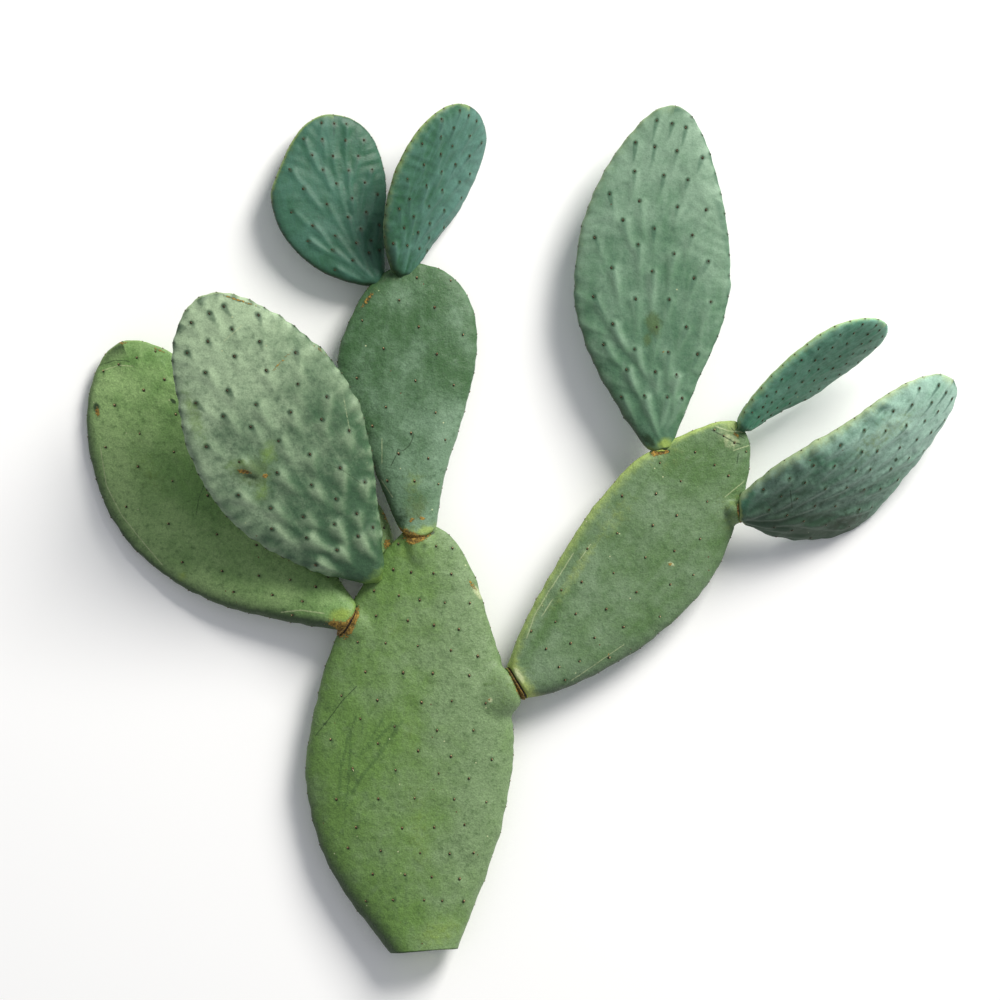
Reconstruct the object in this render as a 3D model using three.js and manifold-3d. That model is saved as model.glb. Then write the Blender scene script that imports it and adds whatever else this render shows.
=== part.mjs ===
// A branched stem of a nearly spineless prickly pear, cut at its foot and lying on its back.
// It has eleven flat pads, with corky collars where the older ones join.
// Millimetres, +Z up, +Y towards the young pads. The surface that it lies on is z = 0.

import * as THREE from 'three';
import Module from 'manifold-3d';

const wasm = await Module();
wasm.setup();

// Driving dimensions, all pads
const seatGap = 0.45; // clearance between two pieces that grew together
const edgePower = 2.6; // how full a pad's cross-section stays towards its rim
const tipPower = 6; // how late a pad's outline closes to its round tip
const lastRow = 0.95; // where along the pad the last row of areoles lies
const tipRing = 0.985; // the ring between that row and the tip
const rimScallop = 0.8; // how far the rim swells at every second row
const shoulder = 0.93; // where the flat face starts to turn into the rim
const outerColumn = 0.76; // where the outermost column of areoles runs
const rowSlant = 0.3; // how far a row leans at each rim, in rows
const stray = 0.16; // how far an areole strays from its row and its column, in rows and columns
const areoleRadius = 3.2;
const areoleHeight = 1.8; // the felt cushion, above its tubercle
const bareNeck = 0.1; // no areoles on the pad's neck
const collarFit = 1.12; // a collar's thickness against the neck that it carries
const collarHalfLength = 5.5;

// Finishes
const oldSkin = { color: 0x5f8a4c, roughness: 0.6 };
const grownSkin = { color: 0x6f9468, roughness: 0.6 };
const youngSkin = { color: 0x467a5c, roughness: 0.55 };
const waxySkin = { color: 0x86a585, roughness: 0.65 };
const cork = { color: 0x9c7440, roughness: 0.9 };

// Each pad: its midrib from neck to tip, its half-widths left and right of it at even steps,
// its thickness at even steps, how far its left rim is turned up at neck and tip in degrees,
// how far its rims bend back, the half-width of the corky collar under it if it has one,
// and its rows and columns of areoles with the tubercles' height.
const pads = [
  {
    name: 'trunk_pad',
    skin: oldSkin,
    midrib: [[-98, -423, 21], [-107, -282, 19], [-107, -140, 22], [-98, 4, 34]],
    left: [35, 90, 112, 103, 82, 56],
    right: [33, 69, 92, 93, 76, 69],
    thickness: [40, 44, 34],
    roll: [0, 0],
    rows: 17,
    columns: 9,
    tubercle: 0.8,
  },
  {
    name: 'left_back_pad',
    parent: 'trunk_pad',
    collar: 21,
    skin: oldSkin,
    midrib: [[-176, -91, 29], [-246, -54, 20], [-351, 58, 16], [-401, 186, 16]],
    left: [11, 39, 76, 97, 92, 75],
    right: [18, 40, 60, 68, 70, 66],
    thickness: [28, 27, 22],
    roll: [0, -8],
    rows: 13,
    columns: 7,
    tubercle: 0.8,
  },
  {
    name: 'left_front_pad',
    parent: 'trunk_pad',
    skin: waxySkin,
    midrib: [[-145, -51, 40], [-219, 33, 66], [-266, 134, 116], [-320, 227, 150]],
    left: [10, 57, 83, 85, 75, 68],
    right: [10, 50, 78, 87, 76, 58],
    thickness: [22, 25, 20],
    roll: [0, 4],
    rows: 14,
    columns: 7,
    tubercle: 1.8,
  },
  {
    name: 'rear_small_pad',
    parent: 'trunk_pad',
    skin: youngSkin,
    midrib: [[-138, -32, 25], [-154, -6, 17], [-166, 24, 13], [-179, 60, 12]],
    left: [9, 22, 30, 30, 26, 22],
    right: [9, 18, 20, 18, 16, 14],
    thickness: [14, 13, 10],
    roll: [0, 0],
    rows: 7,
    columns: 3,
    tubercle: 1.2,
  },
  {
    name: 'mid_upper_pad',
    parent: 'trunk_pad',
    collar: 19,
    skin: grownSkin,
    midrib: [[-104, -8, 34], [-111, 83, 30], [-111, 172, 26], [-103, 264, 22]],
    left: [17, 35, 58, 78, 75, 70],
    right: [17, 28, 45, 60, 69, 74],
    thickness: [26, 26, 22],
    roll: [0, 0],
    rows: 11,
    columns: 5,
    tubercle: 0.8,
  },
  {
    name: 'top_left_pad',
    parent: 'mid_upper_pad',
    skin: youngSkin,
    midrib: [[-146, 246, 22], [-178, 288, 15], [-195, 353, 13], [-190, 414, 13]],
    left: [8, 41, 63, 69, 55, 47],
    right: [10, 28, 42, 51, 53, 56],
    thickness: [14, 16, 12],
    roll: [10, 12],
    rows: 12,
    columns: 7,
    tubercle: 1.6,
  },
  {
    name: 'top_right_pad',
    parent: 'mid_upper_pad',
    skin: youngSkin,
    midrib: [[-122, 253, 24], [-109, 310, 40], [-86, 366, 48], [-53, 421, 50]],
    left: [10, 33, 46, 50, 51, 48],
    right: [10, 30, 45, 52, 57, 60],
    thickness: [14, 15, 12],
    roll: [40, 46],
    rows: 12,
    columns: 7,
    tubercle: 1.6,
  },
  {
    name: 'right_pad',
    parent: 'trunk_pad',
    collar: 23,
    skin: grownSkin,
    midrib: [[-9, -157, 30], [67, -112, 32], [150, 0, 34], [215, 104, 36]],
    left: [20, 48, 65, 74, 70, 42],
    right: [18, 38, 56, 67, 58, 46],
    thickness: [30, 27, 22],
    roll: [4, 8],
    rows: 13,
    columns: 7,
    tubercle: 0.8,
  },
  {
    name: 'tall_pad',
    parent: 'right_pad',
    collar: 14,
    skin: waxySkin,
    midrib: [[139, 79, 38], [127, 198, 46], [127, 298, 50], [152, 421, 50]],
    left: [15, 53, 78, 79, 68, 51],
    right: [9, 43, 71, 74, 65, 53],
    thickness: [20, 21, 16],
    roll: [-4, -9],
    rows: 14,
    columns: 7,
    tubercle: 2,
  },
  {
    name: 'right_small_pad',
    parent: 'right_pad',
    skin: youngSkin,
    midrib: [[219, 100, 37], [252, 138, 52], [307, 178, 60], [362, 203, 68]],
    left: [9, 22, 33, 41, 48, 44],
    right: [8, 23, 42, 45, 44, 42],
    thickness: [16, 14, 11],
    roll: [55, 60],
    rows: 11,
    columns: 5,
    tubercle: 1.6,
  },
  {
    name: 'right_lower_pad',
    parent: 'right_pad',
    collar: 16,
    skin: youngSkin,
    midrib: [[218, 15, 38], [294, 15, 58], [368, 72, 60], [429, 148, 57]],
    left: [18, 50, 61, 63, 63, 62],
    right: [15, 55, 72, 59, 50, 53],
    thickness: [20, 18, 15],
    roll: [42, 50],
    rimBend: 6,
    rows: 12,
    columns: 5,
    tubercle: 2,
  },
];

// The stump that an old pad grows on its rim to carry another: its centre, and its half-sizes
// along, across and through the pad that it carries.
const stumps = [
  { on: 'trunk_pad', carries: 'right_pad', centre: [-34, -171, 29], radii: [27, 25, 18] },
];
const stumpFullness = 6;

const vector = (p) => new THREE.Vector3(...p);

// A smooth curve through values at even steps along the pad
function profile(values, s) {
  const steps = values.length - 1;
  const i = Math.min(Math.floor(s * steps), steps - 1);
  const f = s * steps - i;
  const v = (k) => values[Math.min(Math.max(k, 0), steps)];
  const before = i > 0 ? v(i - 1) : 2 * v(i) - v(i + 1);
  const after = i < steps - 1 ? v(i + 2) : 2 * v(i + 1) - v(i);
  const slope0 = (v(i + 1) - before) / 2;
  const slope1 = (after - v(i)) / 2;
  const rise = v(i + 1) - v(i);
  return v(i) + f * (slope0 + f * (3 * rise - 2 * slope0 - slope1 + f * (slope0 + slope1 - 2 * rise)));
}

// Where the pad is at s along its midrib, and which way it faces there
function station(pad, s) {
  const curve = new THREE.CubicBezierCurve3(...pad.midrib.map(vector));
  const along = curve.getTangent(s);
  const up = new THREE.Vector3(0, 0, 1).addScaledVector(along, -along.z).normalize();
  const side = new THREE.Vector3().crossVectors(up, along);
  const turn = THREE.MathUtils.degToRad(THREE.MathUtils.lerp(pad.roll[0], pad.roll[1], s));
  const left = side.clone().multiplyScalar(Math.cos(turn)).addScaledVector(up, Math.sin(turn));
  const face = up.multiplyScalar(Math.cos(turn)).addScaledVector(side, -Math.sin(turn));
  return { middle: curve.getPoint(s), along, left, face };
}

// A point of the skin: across runs from 1 at the left rim to -1 at the right, and facing is 1
// on the face, -1 on the back. Lift is how far it stands out of the plain form.
function skinPoint(pad, s, across, facing, lift = 0) {
  const at = station(pad, s);
  const closing = Math.sqrt(Math.max(1 - s ** tipPower, 0));
  const halfWidth = profile(across > 0 ? pad.left : pad.right, s) * closing;
  const fullness = Math.sqrt(Math.max(1 - Math.abs(across) ** edgePower, 0));
  const halfThickness = (profile(pad.thickness, s) / 2) * closing * fullness;
  const bend = (pad.rimBend ?? 0) * across ** 2 * closing;
  const point = at.middle.addScaledVector(at.left, across * halfWidth);
  return point.addScaledVector(at.face, facing * (halfThickness + lift) - bend);
}

const columnStep = (pad) => (2 * outerColumn) / (pad.columns - 1);

// The columns of a ring across one face, from the left shoulder to the right one
function faceColumns(pad) {
  const areoleColumns = Array.from({ length: pad.columns }, (_, c) => outerColumn - c * columnStep(pad));
  return [shoulder, ...areoleColumns, -shoulder];
}

// One ring round the pad: left rim, face, right rim, back
function ringOf(pad) {
  const columns = faceColumns(pad);
  const face = columns.map((across) => ({ across, facing: 1 }));
  const back = columns.map((across) => ({ across: -across, facing: -1 }));
  return [{ across: 1, facing: 1 }, ...face, { across: -1, facing: 1 }, ...back];
}

// The lattice of the pad's skin. Areoles take every second place, like the dark squares
// of a chessboard, and no crease runs through one.
function padLattice(pad) {
  const ring = ringOf(pad);
  const step = lastRow / (pad.rows - 1);
  const rowPlaces = Array.from({ length: pad.rows }, (_, row) => row * step);
  const points = [];
  const areoles = new Map();
  const isAreole = (row, j) => {
    const { across } = ring[j];
    const onFace = Math.abs(across) < shoulder;
    return onFace && (row + j) % 2 === 0 && row < pad.rows - 1 && rowPlaces[row] > bareNeck;
  };
  [...rowPlaces, tipRing].forEach((place, row) => {
    ring.forEach(({ across, facing }, j) => {
      const onFace = Math.abs(across) < shoulder ? 1 : 0;
      const shift = rowSlant * across + stray * onFace * Math.sin(1.9 * row + 2.7 * j);
      const s = place + shift * step * Math.sin(Math.PI * place);
      const t = across + onFace * stray * columnStep(pad) * Math.sin(2.3 * row + 1.1 * j);
      const isRim = Math.abs(across) === 1;
      const swell = isRim && row % 2 === 0 && row > 1 && row < pad.rows ? rimScallop : 0;
      const areole = isAreole(row, j);
      const point = skinPoint(pad, s, t, facing, areole ? pad.tubercle : 0);
      if (swell) {
        point.addScaledVector(station(pad, place).left, across * swell);
      }
      if (areole) {
        areoles.set(points.length, { normal: station(pad, place).face.multiplyScalar(facing) });
      }
      points.push(point);
    });
  });
  return { points, areoles, width: ring.length, rings: pad.rows + 1 };
}

// Triangles of the skin, with a flat foot and a closed tip
function latticeTriangles({ points, width, rings }, foot, tip) {
  const triangles = [];
  const place = (row, j) => row * width + (j % width);
  for (let j = 0; j < width; j += 1) {
    triangles.push([foot, place(0, j + 1), place(0, j)]);
    for (let row = 0; row < rings - 1; row += 1) {
      const [a, b] = [place(row, j), place(row, j + 1)];
      const [d, c] = [place(row + 1, j), place(row + 1, j + 1)];
      if ((row + j) % 2 === 0) {
        triangles.push([a, b, d], [b, c, d]);
      } else {
        triangles.push([a, b, c], [a, c, d]);
      }
    }
    triangles.push([place(rings - 1, j), place(rings - 1, j + 1), tip]);
  }
  return triangles;
}

// Each areole becomes a small cushion: a low pyramid on its tubercle
function raiseAreoles(points, areoles, triangles) {
  const feet = new Map();
  const footOf = (areole, neighbour) => {
    const key = `${areole}:${neighbour}`;
    if (!feet.has(key)) {
      const toward = points[neighbour].clone().sub(points[areole]).setLength(areoleRadius);
      feet.set(key, points.length);
      points.push(points[areole].clone().add(toward));
    }
    return feet.get(key);
  };
  const split = triangles.flatMap((triangle) => {
    const corner = triangle.findIndex((v) => areoles.has(v));
    if (corner < 0) {
      return [triangle];
    }
    const [a, b, c] = [0, 1, 2].map((k) => triangle[(corner + k) % 3]);
    const [p, q] = [footOf(a, b), footOf(a, c)];
    return [[a, p, q], [p, b, c], [p, c, q]];
  });
  areoles.forEach(({ normal }, index) => points[index].addScaledVector(normal, areoleHeight));
  return split;
}

function geometryOf(points, triangles) {
  const geometry = new THREE.BufferGeometry();
  geometry.setAttribute('position', new THREE.Float32BufferAttribute(points.flatMap((p) => p.toArray()), 3));
  geometry.setIndex(triangles.flat());
  return geometry;
}

// The whole skin of a pad as one closed surface. Where it lies on the surface it is flat.
function padGeometry(pad) {
  const lattice = padLattice(pad);
  const { points, areoles } = lattice;
  const foot = points.push(station(pad, 0).middle) - 1;
  const tip = points.push(station(pad, 1).middle) - 1;
  const triangles = raiseAreoles(points, areoles, latticeTriangles(lattice, foot, tip));
  points.forEach((p) => p.setZ(Math.max(p.z, 0)));
  return geometryOf(points, triangles);
}

// A smooth knob with its half-sizes along, across and through the pad that it carries.
// Fullness 2 makes it an egg, and more makes it a barrel.
function knobGeometry(pad, centre, radii, fullness = 2) {
  const at = station(pad, 0);
  const [alongRadius, leftRadius, faceRadius] = radii;
  const ringSides = 20;
  const ringPlaces = [-0.96, -0.82, -0.6, -0.3, 0, 0.3, 0.6, 0.82, 0.96];
  const points = ringPlaces.flatMap((place) => {
    const size = Math.sqrt(1 - Math.abs(place) ** fullness);
    return Array.from({ length: ringSides }, (_, side) => {
      const angle = (2 * Math.PI * side) / ringSides;
      const point = vector(centre).addScaledVector(at.along, place * alongRadius);
      point.addScaledVector(at.left, size * leftRadius * Math.cos(angle));
      return point.addScaledVector(at.face, size * faceRadius * Math.sin(angle));
    });
  });
  const foot = points.push(vector(centre).addScaledVector(at.along, -alongRadius)) - 1;
  const tip = points.push(vector(centre).addScaledVector(at.along, alongRadius)) - 1;
  const lattice = { points, width: ringSides, rings: ringPlaces.length };
  return geometryOf(points, latticeTriangles(lattice, foot, tip));
}

function solidOf(geometry) {
  const vertProperties = new Float32Array(geometry.attributes.position.array);
  const triVerts = new Uint32Array(geometry.index.array);
  return new wasm.Manifold(new wasm.Mesh({ numProp: 3, vertProperties, triVerts }));
}

function geometryOfSolid(solid) {
  const { vertProperties, triVerts } = solid.getMesh();
  const geometry = new THREE.BufferGeometry();
  geometry.setAttribute('position', new THREE.BufferAttribute(vertProperties, 3));
  geometry.setIndex(new THREE.BufferAttribute(triVerts, 1));
  return geometry;
}

// The same solid with its skin moved out by the clearance that a neighbour keeps to it
function grown(solid) {
  const geometry = geometryOfSolid(solid);
  geometry.computeVertexNormals();
  const { position, normal } = geometry.attributes;
  for (let i = 0; i < position.count; i += 1) {
    const p = new THREE.Vector3().fromBufferAttribute(position, i);
    p.addScaledVector(new THREE.Vector3().fromBufferAttribute(normal, i), seatGap);
    position.setXYZ(i, p.x, p.y, p.z);
  }
  return solidOf(geometry);
}

// The largest body that is left when neighbours are cut away, without slivers
function cutBack(solid, neighbours) {
  const rest = neighbours.reduce((left, neighbour) => left.subtract(grown(neighbour)), solid);
  const bodies = rest.decompose();
  const largest = bodies.reduce((a, b) => (b.volume() > a.volume() ? b : a));
  return largest.simplify(0.03);
}

function collarSolid(pad) {
  const at = station(pad, 0);
  const radii = [collarHalfLength, pad.collar, (pad.thickness[0] / 2) * collarFit];
  return solidOf(knobGeometry(pad, at.middle.toArray(), radii));
}

function meshOf(name, solid, finish) {
  const mesh = new THREE.Mesh(geometryOfSolid(solid), new THREE.MeshStandardMaterial(finish));
  mesh.name = name;
  return mesh;
}

// Build the stem from the trunk outwards. A neighbour is cut away by its whole form,
// as it was before its own neighbours were cut from it.
const cactus = new THREE.Group();
const solids = new Map();
for (const pad of pads) {
  const parent = solids.get(pad.parent);
  let solid = solidOf(padGeometry(pad));
  for (const stump of stumps.filter((s) => s.on === pad.name)) {
    const carried = pads.find((p) => p.name === stump.carries);
    solid = solid.add(solidOf(knobGeometry(carried, stump.centre, stump.radii, stumpFullness)));
  }
  solids.set(pad.name, solid);
  const neighbours = parent ? [parent] : [];
  if (pad.collar) {
    const collar = collarSolid(pad);
    cactus.add(meshOf(pad.name.replace('_pad', '_collar'), cutBack(collar, neighbours), cork));
    neighbours.push(collar);
  }
  cactus.add(meshOf(pad.name, cutBack(solid, neighbours), pad.skin));
}

export default cactus;
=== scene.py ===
# %% [markdown]
# # A branch of prickly pear, lying on its back
#
# The real thing is one cut branch of a nearly spineless prickly pear. Its eleven flat pads are stem
# segments: each grew out of the rim or the face of an older one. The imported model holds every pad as
# a plain solid at its true size. Here each one gets the skin that the eye knows: rows of raised
# areoles with their felt and bristles, a wax bloom, corky joints, scars and scratches.
#
# First the fixed frame is loaded. All that follows is fitted to it, and it is never moved.

# %% Load the frame
import math

import bpy
import numpy as np
from mathutils import Matrix, Vector


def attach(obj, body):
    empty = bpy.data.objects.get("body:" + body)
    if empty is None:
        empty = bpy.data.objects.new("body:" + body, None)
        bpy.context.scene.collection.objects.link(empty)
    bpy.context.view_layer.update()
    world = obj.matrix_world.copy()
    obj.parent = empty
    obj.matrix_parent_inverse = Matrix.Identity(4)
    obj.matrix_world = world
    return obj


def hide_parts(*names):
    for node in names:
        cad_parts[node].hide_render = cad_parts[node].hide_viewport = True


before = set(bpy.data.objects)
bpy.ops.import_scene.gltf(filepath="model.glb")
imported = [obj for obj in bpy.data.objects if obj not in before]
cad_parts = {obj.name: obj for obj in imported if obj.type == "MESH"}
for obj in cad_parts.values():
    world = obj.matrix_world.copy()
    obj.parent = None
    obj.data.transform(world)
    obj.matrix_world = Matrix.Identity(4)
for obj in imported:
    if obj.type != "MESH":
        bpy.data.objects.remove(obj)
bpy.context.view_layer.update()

MM = 0.001
chance = np.random.default_rng(11)  # seeded, so that every run gives the same branch
print("CAD nodes:", len(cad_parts))


# %% [markdown]
# ## The camera
#
# The photograph shows the branch upright and from the front. Here it lies on its back, so the same
# view is straight down. A long lens from ten metres keeps the outline almost free of perspective, as
# in the photograph. The view is one metre wide at the height of most pads, so that a thousandth of
# the picture's width is one millimetre.

# %% Camera straight above
VIEW_WIDTH = 1000 * MM
CAMERA_DISTANCE = 10.0  # metres
PAD_HEIGHT = 30 * MM  # of most pads, over the floor
VIEW_CENTRE = (-23 * MM, 28 * MM)
SENSOR = 36  # the camera's own unit, millimetres

camera = bpy.data.objects.new("camera", bpy.data.cameras.new("camera"))
camera.data.sensor_width = SENSOR
camera.data.lens = SENSOR * CAMERA_DISTANCE / VIEW_WIDTH
camera.location = (*VIEW_CENTRE, PAD_HEIGHT + CAMERA_DISTANCE)
bpy.context.collection.objects.link(camera)
bpy.context.scene.camera = camera
print("lens", camera.data.lens, "mm")


# %% [markdown]
# ## Floor and light
#
# The plant was lit by open sky: soft light from its tip end, a little from the right, and plenty of
# fill. A wide panel and a bright surround give that. The panel is large, because the size of a light
# sets how soft its shadows are. The Standard view keeps the greens as they are given below.

# %% Floor and soft studio light
FLOOR_SIZE = 8  # metres, as are the light's place and size
FLOOR_WHITE = "ffffff"
FLOOR_ROUGHNESS = 0.9
KEY_PLACE = Vector((3.0, 4.0, 3.3))
KEY_SIZE = 2.6
KEY_POWER = 495  # watts
KEY_TINT = "fffcf6"
SURROUND = 0.41
SURROUND_TINT = "f6f9ff"


def deselect():
    for piece in bpy.context.selected_objects:
        piece.select_set(False)


def select_only(*pieces):
    """Select these pieces and nothing else, with the first of them active."""
    deselect()
    for piece in pieces:
        piece.select_set(True)
    bpy.context.view_layer.objects.active = pieces[0]


def linear(hex_colour):
    """An sRGB hex colour as the linear values that shaders and lights work in."""
    channels = [int(hex_colour[i : i + 2], 16) / 255 for i in (0, 2, 4)]
    return [c / 12.92 if c <= 0.04045 else ((c + 0.055) / 1.055) ** 2.4 for c in channels] + [1.0]


deselect()
bpy.ops.mesh.primitive_plane_add(size=FLOOR_SIZE)
floor = bpy.context.object
floor.name = "floor"
floor_card = bpy.data.materials.new("matt_white_card")
floor_card.use_nodes = True
card_shader = floor_card.node_tree.nodes["Principled BSDF"]
card_shader.inputs["Base Color"].default_value = linear(FLOOR_WHITE)
card_shader.inputs["Roughness"].default_value = FLOOR_ROUGHNESS
floor.data.materials.append(floor_card)

key = bpy.data.objects.new("key_light", bpy.data.lights.new("key_light", "AREA"))
key.data.size = KEY_SIZE
key.data.energy = KEY_POWER
key.data.color = linear(KEY_TINT)[:3]
key.location = KEY_PLACE
key.rotation_euler = (-KEY_PLACE).to_track_quat("-Z", "Y").to_euler()
bpy.context.collection.objects.link(key)

world = bpy.data.worlds.new("surround")
bpy.context.scene.world = world
world.use_nodes = True
surround_shader = world.node_tree.nodes["Background"]
surround_shader.inputs["Color"].default_value = linear(SURROUND_TINT)
surround_shader.inputs["Strength"].default_value = SURROUND
bpy.context.scene.view_settings.view_transform = "Standard"
print("key light", KEY_SIZE, "m across, surround", SURROUND)


# %% [markdown]
# ## The pads as a grower would describe them
#
# A pad is a flat blade. It has a midrib, which may curve and tip, and two rims at their own distances
# from it, because no pad is symmetrical. It has a thickness, and it may be rolled round its midrib.
# A table of those few sizes in millimetres says all that tells one pad from another. The numbers are
# those of the solids in the frame, so the skins made from them lie in the same place.
#
# The midrib has four handles. The left and right rims and the thickness are given at even steps from
# the foot to the tip, and the roll, in degrees, at the foot and the tip. Then come how many rows and
# columns of areoles a face has and how far apart those on the rim are. Rim bend is how far the rims
# lie behind the midrib, and collar is the reach of the cork round the pad's joint.

# %% Sizes of the pads, in millimetres
PADS = {
    "trunk": dict(
        midrib=[(-98, -423, 21), (-107, -282, 19), (-107, -140, 22), (-98, 4, 34)],
        left=[35, 90, 112, 103, 82, 56], right=[33, 69, 92, 93, 76, 69],
        thickness=[40, 44, 34], roll=(0, 0), rows=17, columns=9, rim_step=24,
    ),
    "left_back": dict(
        midrib=[(-176, -91, 29), (-246, -54, 20), (-351, 58, 16), (-401, 186, 16)],
        left=[11, 39, 76, 97, 92, 75], right=[18, 40, 60, 68, 70, 66],
        thickness=[28, 27, 22], roll=(0, -8), rows=13, columns=7, rim_step=20, collar=21,
    ),
    "left_front": dict(
        midrib=[(-145, -51, 40), (-219, 33, 66), (-266, 134, 116), (-320, 227, 150)],
        left=[10, 57, 83, 85, 75, 68], right=[10, 50, 78, 87, 76, 58],
        thickness=[22, 25, 20], roll=(0, 4), rows=14, columns=7, rim_step=17,
    ),
    "rear_small": dict(
        midrib=[(-138, -32, 25), (-154, -6, 17), (-166, 24, 13), (-179, 60, 12)],
        left=[9, 22, 30, 30, 26, 22], right=[9, 18, 20, 18, 16, 14],
        thickness=[14, 13, 10], roll=(0, 0), rows=7, columns=3, rim_step=13,
    ),
    "mid_upper": dict(
        midrib=[(-104, -8, 34), (-111, 83, 30), (-111, 172, 26), (-103, 264, 22)],
        left=[17, 35, 58, 78, 75, 70], right=[17, 28, 45, 60, 69, 74],
        thickness=[26, 26, 22], roll=(0, 0), rows=11, columns=5, rim_step=19, collar=19,
    ),
    "top_left": dict(
        midrib=[(-146, 246, 22), (-178, 288, 15), (-195, 353, 13), (-190, 414, 13)],
        left=[8, 41, 63, 69, 55, 47], right=[10, 28, 42, 51, 53, 56],
        thickness=[14, 16, 12], roll=(10, 12), rows=12, columns=7, rim_step=11,
    ),
    "top_right": dict(
        midrib=[(-122, 253, 24), (-109, 310, 40), (-86, 366, 48), (-53, 421, 50)],
        left=[10, 33, 46, 50, 51, 48], right=[10, 30, 45, 52, 57, 60],
        thickness=[14, 15, 12], roll=(40, 46), rows=12, columns=7, rim_step=11,
    ),
    "right": dict(
        midrib=[(-9, -157, 30), (67, -112, 32), (150, 0, 34), (215, 104, 36)],
        left=[20, 48, 65, 74, 70, 42], right=[18, 38, 56, 67, 58, 46],
        thickness=[30, 27, 22], roll=(4, 8), rows=13, columns=7, rim_step=22, collar=23,
    ),
    "tall": dict(
        midrib=[(139, 79, 38), (127, 198, 46), (127, 298, 50), (152, 421, 50)],
        left=[15, 53, 78, 79, 68, 51], right=[9, 43, 71, 74, 65, 53],
        thickness=[20, 21, 16], roll=(-4, -9), rows=14, columns=7, rim_step=19, collar=14,
    ),
    "right_small": dict(
        midrib=[(219, 100, 37), (252, 138, 52), (307, 178, 60), (362, 203, 68)],
        left=[9, 22, 33, 41, 48, 44], right=[8, 23, 42, 45, 44, 42],
        thickness=[16, 14, 11], roll=(55, 60), rows=16, columns=7, rim_step=15,
    ),
    "right_lower": dict(
        midrib=[(218, 15, 38), (294, 15, 58), (368, 72, 60), (429, 148, 57)],
        left=[18, 50, 61, 63, 63, 62], right=[15, 55, 72, 59, 50, 53],
        thickness=[20, 18, 15], roll=(42, 50), rows=16, columns=7, rim_step=19, rim_bend=6, collar=16,
    ),
}
EDGE_POWER = 2.6  # how full a pad's cross-section stays towards its rim
TIP_POWER = 6  # how late a pad's outline closes to its round tip
print(len(PADS), "pads")


# %% [markdown]
# ## From sizes to a place in space
#
# The midrib is a curve with four handles. At each share of its length it has a direction, and the
# pad's own left and face stand square to it. With those, any point of the skin has an address: how
# far along, how far across, and face or back. Every later step uses the same address, so areoles,
# scars and the skin itself always agree.

# %% Midrib, rims and skin
def profile(values, s):
    """A smooth curve through values at even steps along the pad."""
    v = np.array([2 * values[0] - values[1], *values, 2 * values[-1] - values[-2]], float)
    steps = len(values) - 1
    i = np.minimum((s * steps).astype(int), steps - 1)
    f = s * steps - i
    before, here, there, after = v[i], v[i + 1], v[i + 2], v[i + 3]
    slope_in, slope_out, rise = (there - before) / 2, (after - here) / 2, there - here
    cubic = slope_in + slope_out - 2 * rise
    return here + f * (slope_in + f * (rise - slope_in - cubic + f * cubic))


def unit(vectors):
    """The vectors, each one long."""
    return vectors / np.linalg.norm(vectors, axis=-1, keepdims=True)


def stations(pad, s):
    """The midrib's point at s, in millimetres, and the pad's along, left and face directions there."""
    a, b, c, d = (np.array(p, float) for p in pad["midrib"])
    s = np.asarray(s, float)[..., None]
    middle = (1 - s) ** 3 * a + 3 * (1 - s) ** 2 * s * b + 3 * (1 - s) * s**2 * c + s**3 * d
    along = unit((1 - s) ** 2 * (b - a) + 2 * (1 - s) * s * (c - b) + s**2 * (d - c))
    up = unit(np.array([0, 0, 1]) - along * along[..., 2:])
    side = np.cross(up, along)
    turn = np.radians(pad["roll"][0] + (pad["roll"][1] - pad["roll"][0]) * s)
    return middle, along, side * np.cos(turn) + up * np.sin(turn), up * np.cos(turn) - side * np.sin(turn)


def closing(s):
    """1 along most of a pad, and 0 at the very tip, which it rounds off."""
    return np.sqrt(np.maximum(1 - s**TIP_POWER, 0))


def half_width(pad, s, across):
    """From the midrib to the rim, in millimetres."""
    return np.where(across > 0, profile(pad["left"], s), profile(pad["right"], s)) * closing(s)


def skin(pad, s, across, facing):
    """Points of the skin, in millimetres. Across is 1 at the left rim and -1 at the right, and
    facing is 1 on the face and -1 on the back."""
    s, across, facing = np.broadcast_arrays(*(np.asarray(v, float) for v in (s, across, facing)))
    middle, _, left, face = stations(pad, s)
    fullness = np.sqrt(np.maximum(1 - np.abs(across) ** EDGE_POWER, 0))
    depth = facing * profile(pad["thickness"], s) / 2 * closing(s) * fullness
    depth = depth - pad.get("rim_bend", 0) * across**2 * closing(s)
    return middle + left * (across * half_width(pad, s, across))[..., None] + face * depth[..., None]


MIDRIB_STEPS = 60


def midrib_length(pad):
    middle, *_ = stations(pad, np.linspace(0, 1, MIDRIB_STEPS))
    return np.linalg.norm(np.diff(middle, axis=0), axis=1).sum()


print({name: round(midrib_length(pad)) for name, pad in PADS.items()}, "mm long")


# %% [markdown]
# ## Where the areoles sit
#
# Areoles are the small felted buds of a cactus. On a face they stand in slanting rows that cross, like
# the dark squares of a chessboard. Nature is never exact, so each strays a little. The rule is the one
# that placed them on the solids in the frame, with more rows on the two youngest pads. The rim has a
# row of its own, at even steps right round the tip.

# %% Rows and columns of areoles
LAST_ROW = 0.95  # share of the pad's length
OUTER_COLUMN = 0.76  # share of the half-width
ROW_SLANT = 0.3  # how far a row climbs from the midrib to the left rim, as a share of a step
STRAY = 0.16  # how far an areole strays from its row or column, as a share of a step
BARE_NECK = 0.1  # share of the length that has none
WAVES_ALONG, WAVES_ACROSS = (1.9, 2.7), (2.3, 1.1)  # of the sines that it strays by, in rows and columns
COLUMNS_APART = 4  # what keeps the pattern of strays on the back apart from the face's
RIM_STEPS = 200  # in which a rim is measured


def even_steps(values, points, count):
    """Values at count even distances along the line through points."""
    gone = np.concatenate([[0], np.cumsum(np.linalg.norm(np.diff(points, axis=0), axis=1))])
    return np.interp(np.linspace(0, gone[-1], count), gone, values)


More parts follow.
